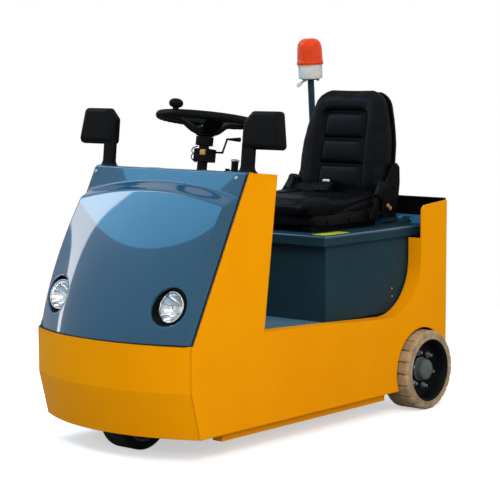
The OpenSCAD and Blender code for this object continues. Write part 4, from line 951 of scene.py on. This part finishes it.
def rear_fittings():
    """The coupling's bolts, two rivets in the seat box, and the tail lamps in their frames."""
    bolts = [lathe(hex_head(12, 10), (-744.2, y, z), (-1, 0, 0), 6) for y in (-58, 58) for z in (242, 328)]
    make("coupling_bolts", bolts, zinc_plate, crease=30)
    rivets = [lathe(fastener(4.5, 2.5), (x, 290.2, z), (0, 1, 0), 20) for x, z in ((-455, 463), (-457, 433))]
    make("box_rivets", rivets, zinc_plate)
    lamps, frames = [], []
    for side in (-1, 1):
        at_tail = place_at((-716.2, side * 295, 500), (-1, 0, 0), (0, 1, 0))
        frames.append(slab(round_rect(84, 60, 13), 0, 10, 2, at_tail))
        lamps.append(slab(round_rect(76, 52, 11), 9, 23.5, 7, at_tail))
    make("tail_lamp_frames", frames, moulded_black)
    make("tail_lamp_lenses", lamps, tail_acrylic, "tail_lamps")


lid_fittings()
dash_fittings()
rear_fittings()


# ---- Camera, light and floor ----
def stand(thing, x_way, y_way, z_way, place):
    """Puts a thing at a place, with its own axes along three ways."""
    world = np.eye(4)
    world[:3] = np.stack([x_way, y_way, z_way, place], 1)
    thing.matrix_world = Matrix(world.tolist())


def camera():
    """The photograph's viewpoint: a long lens, ahead of the tractor and to its left, a little above the
    seat."""
    yaw, pitch, roll = np.radians([220.34, -6.09, -0.15])
    eye = placed("camera", bpy.data.cameras.new("camera"))
    eye.data.lens, eye.data.sensor_width, eye.data.sensor_fit = 123.48, 36.0, "HORIZONTAL"
    look = np.array([np.cos(yaw) * np.cos(pitch), np.sin(yaw) * np.cos(pitch), np.sin(pitch)])
    right = np.array([np.sin(yaw), -np.cos(yaw), 0.0])
    over = np.cross(right, look)
    right, over = right * np.cos(roll) + over * np.sin(roll), over * np.cos(roll) - right * np.sin(roll)
    stand(eye, right, over, -look, (4.771, 4.029, 1.293))
    scene.camera = eye


def soft_box(name, place, target, size, power, colour="#FFFFFF", mirrored=False, roll=0.0):
    """A rectangular soft light that faces its target, rolled by so many degrees; unless mirrored, gloss shows
    the surround and not the light."""
    lamp = bpy.data.lights.new(name, "AREA")
    lamp.shape, lamp.size, lamp.size_y = "RECTANGLE", size[0], size[1]
    lamp.energy, lamp.color = power, linear(colour)[:3]
    box = placed(name, lamp)
    back = np.asarray(place, float) - np.asarray(target, float)
    back /= np.linalg.norm(back)
    across = np.cross([0.0, 0, 1], back)
    across /= np.linalg.norm(across)
    across = across * np.cos(np.radians(roll)) + np.cross(back, across) * np.sin(np.radians(roll))
    stand(box, across, np.cross(back, across), back, place)
    box.visible_glossy = mirrored


def surround():
    """A surround that camera, mirror and glass rays see as plain white, and other rays as a dimmer, cool
    light."""
    scene.world = bpy.data.worlds.new("surround")
    tree = emptied(scene.world)
    path = add(tree, "LightPath").outputs
    seen = path["Is Camera Ray"]
    for ray in ("Is Transmission Ray", "Is Glossy Ray"):
        seen = add(tree, "Math", {0: seen, 1: path[ray]}, operation="MAXIMUM")
    light = add(tree, "Background", {"Color": (0.29, 0.31, 0.34, 1), "Strength": 1.0})
    shown = add(tree, "Background", {"Color": linear("#FFFFFF"), "Strength": 1.0})
    mixed = add(tree, "MixShader", {0: seen, 1: light, 2: shown})
    add(tree, "OutputWorld", {"Surface": mixed})


def white_floor():
    """A white floor: the camera sees paper with the tractor's shadow near by, which runs out into plain
    white, and other rays see a grey."""
    half, shadow_end, white_from = 30, 1.3, 3.4
    corners = [(-half, -half, 0), (half, -half, 0), (half, half, 0), (-half, half, 0)]
    mesh = bpy.data.meshes.new("floor")
    mesh.from_pydata(corners, [], [(0, 1, 2, 3)])
    floor = placed("floor", mesh)
    paper = bpy.data.materials.new("white_floor")
    tree = emptied(paper)
    path = add(tree, "LightPath")
    place = add(tree, "TexCoord").outputs["Object"]
    reach = add(tree, "VectorMath", {0: place}, operation="LENGTH").outputs["Value"]
    far = add(tree, "MapRange", {"Value": reach, "From Min": shadow_end, "From Max": white_from},
              interpolation_type="SMOOTHSTEP")
    matt = add(tree, "BsdfDiffuse", {"Color": linear("#F4F4F4")})
    lift = add(tree, "Emission", {"Color": linear("#FFFFFF"), "Strength": 0.52})
    near = add(tree, "AddShader", {0: matt, 1: lift})
    white = add(tree, "Emission", {"Color": linear("#FFFFFF"), "Strength": 1.0})
    shown = add(tree, "MixShader", {0: far, 1: near, 2: white})
    dim = add(tree, "BsdfDiffuse", {"Color": linear("#A8A8A8")})
    pick = add(tree, "MixShader", {0: path.outputs["Is Camera Ray"], 1: dim, 2: shown})
    add(tree, "OutputMaterial", {"Surface": pick})
    mesh.materials.append(paper)


def lights():
    """Soft boxes all round; the shell mirrors two of them, which stand in for a blue sky and a bright
    wall."""
    soft_box("key", (2.6, 3.4, 3.4), (0, 0, 0.5), (2.2, 1.6), 94, "#FFF8EE")
    soft_box("sky", (0.4, -1.5, 4.1), (0, 0, 0.6), (3.2, 3.0), 80, "#A8D4FF")
    soft_box("upper_window", (1.82, -2.68, 3.62), (0.7, 0, 0.75), (2.8, 0.95), 42, "#62C4FF", True, 32)
    soft_box("roof", (0.2, 1.5, 3.6), (0, 0.35, 0.5), (2.4, 0.7), 20, "#FFF6E4")
    soft_box("front", (4.2, 1.0, 1.9), (0.7, 0, 0.35), (2.0, 1.0), 30)
    soft_box("side_window", (1.60, -3.68, 2.6), (0.62, -0.2, 0.65), (0.22, 4.2), 26, "#FFFFFF", True)
    soft_box("side", (-0.6, 4.4, 1.9), (-0.2, 0, 0.6), (2.6, 1.4), 38)
    soft_box("rear", (-4.0, -1.6, 2.6), (-0.4, 0, 0.8), (2.2, 1.6), 34)


camera()
surround()
white_floor()
lights()
scene.view_settings.view_transform = "Standard"
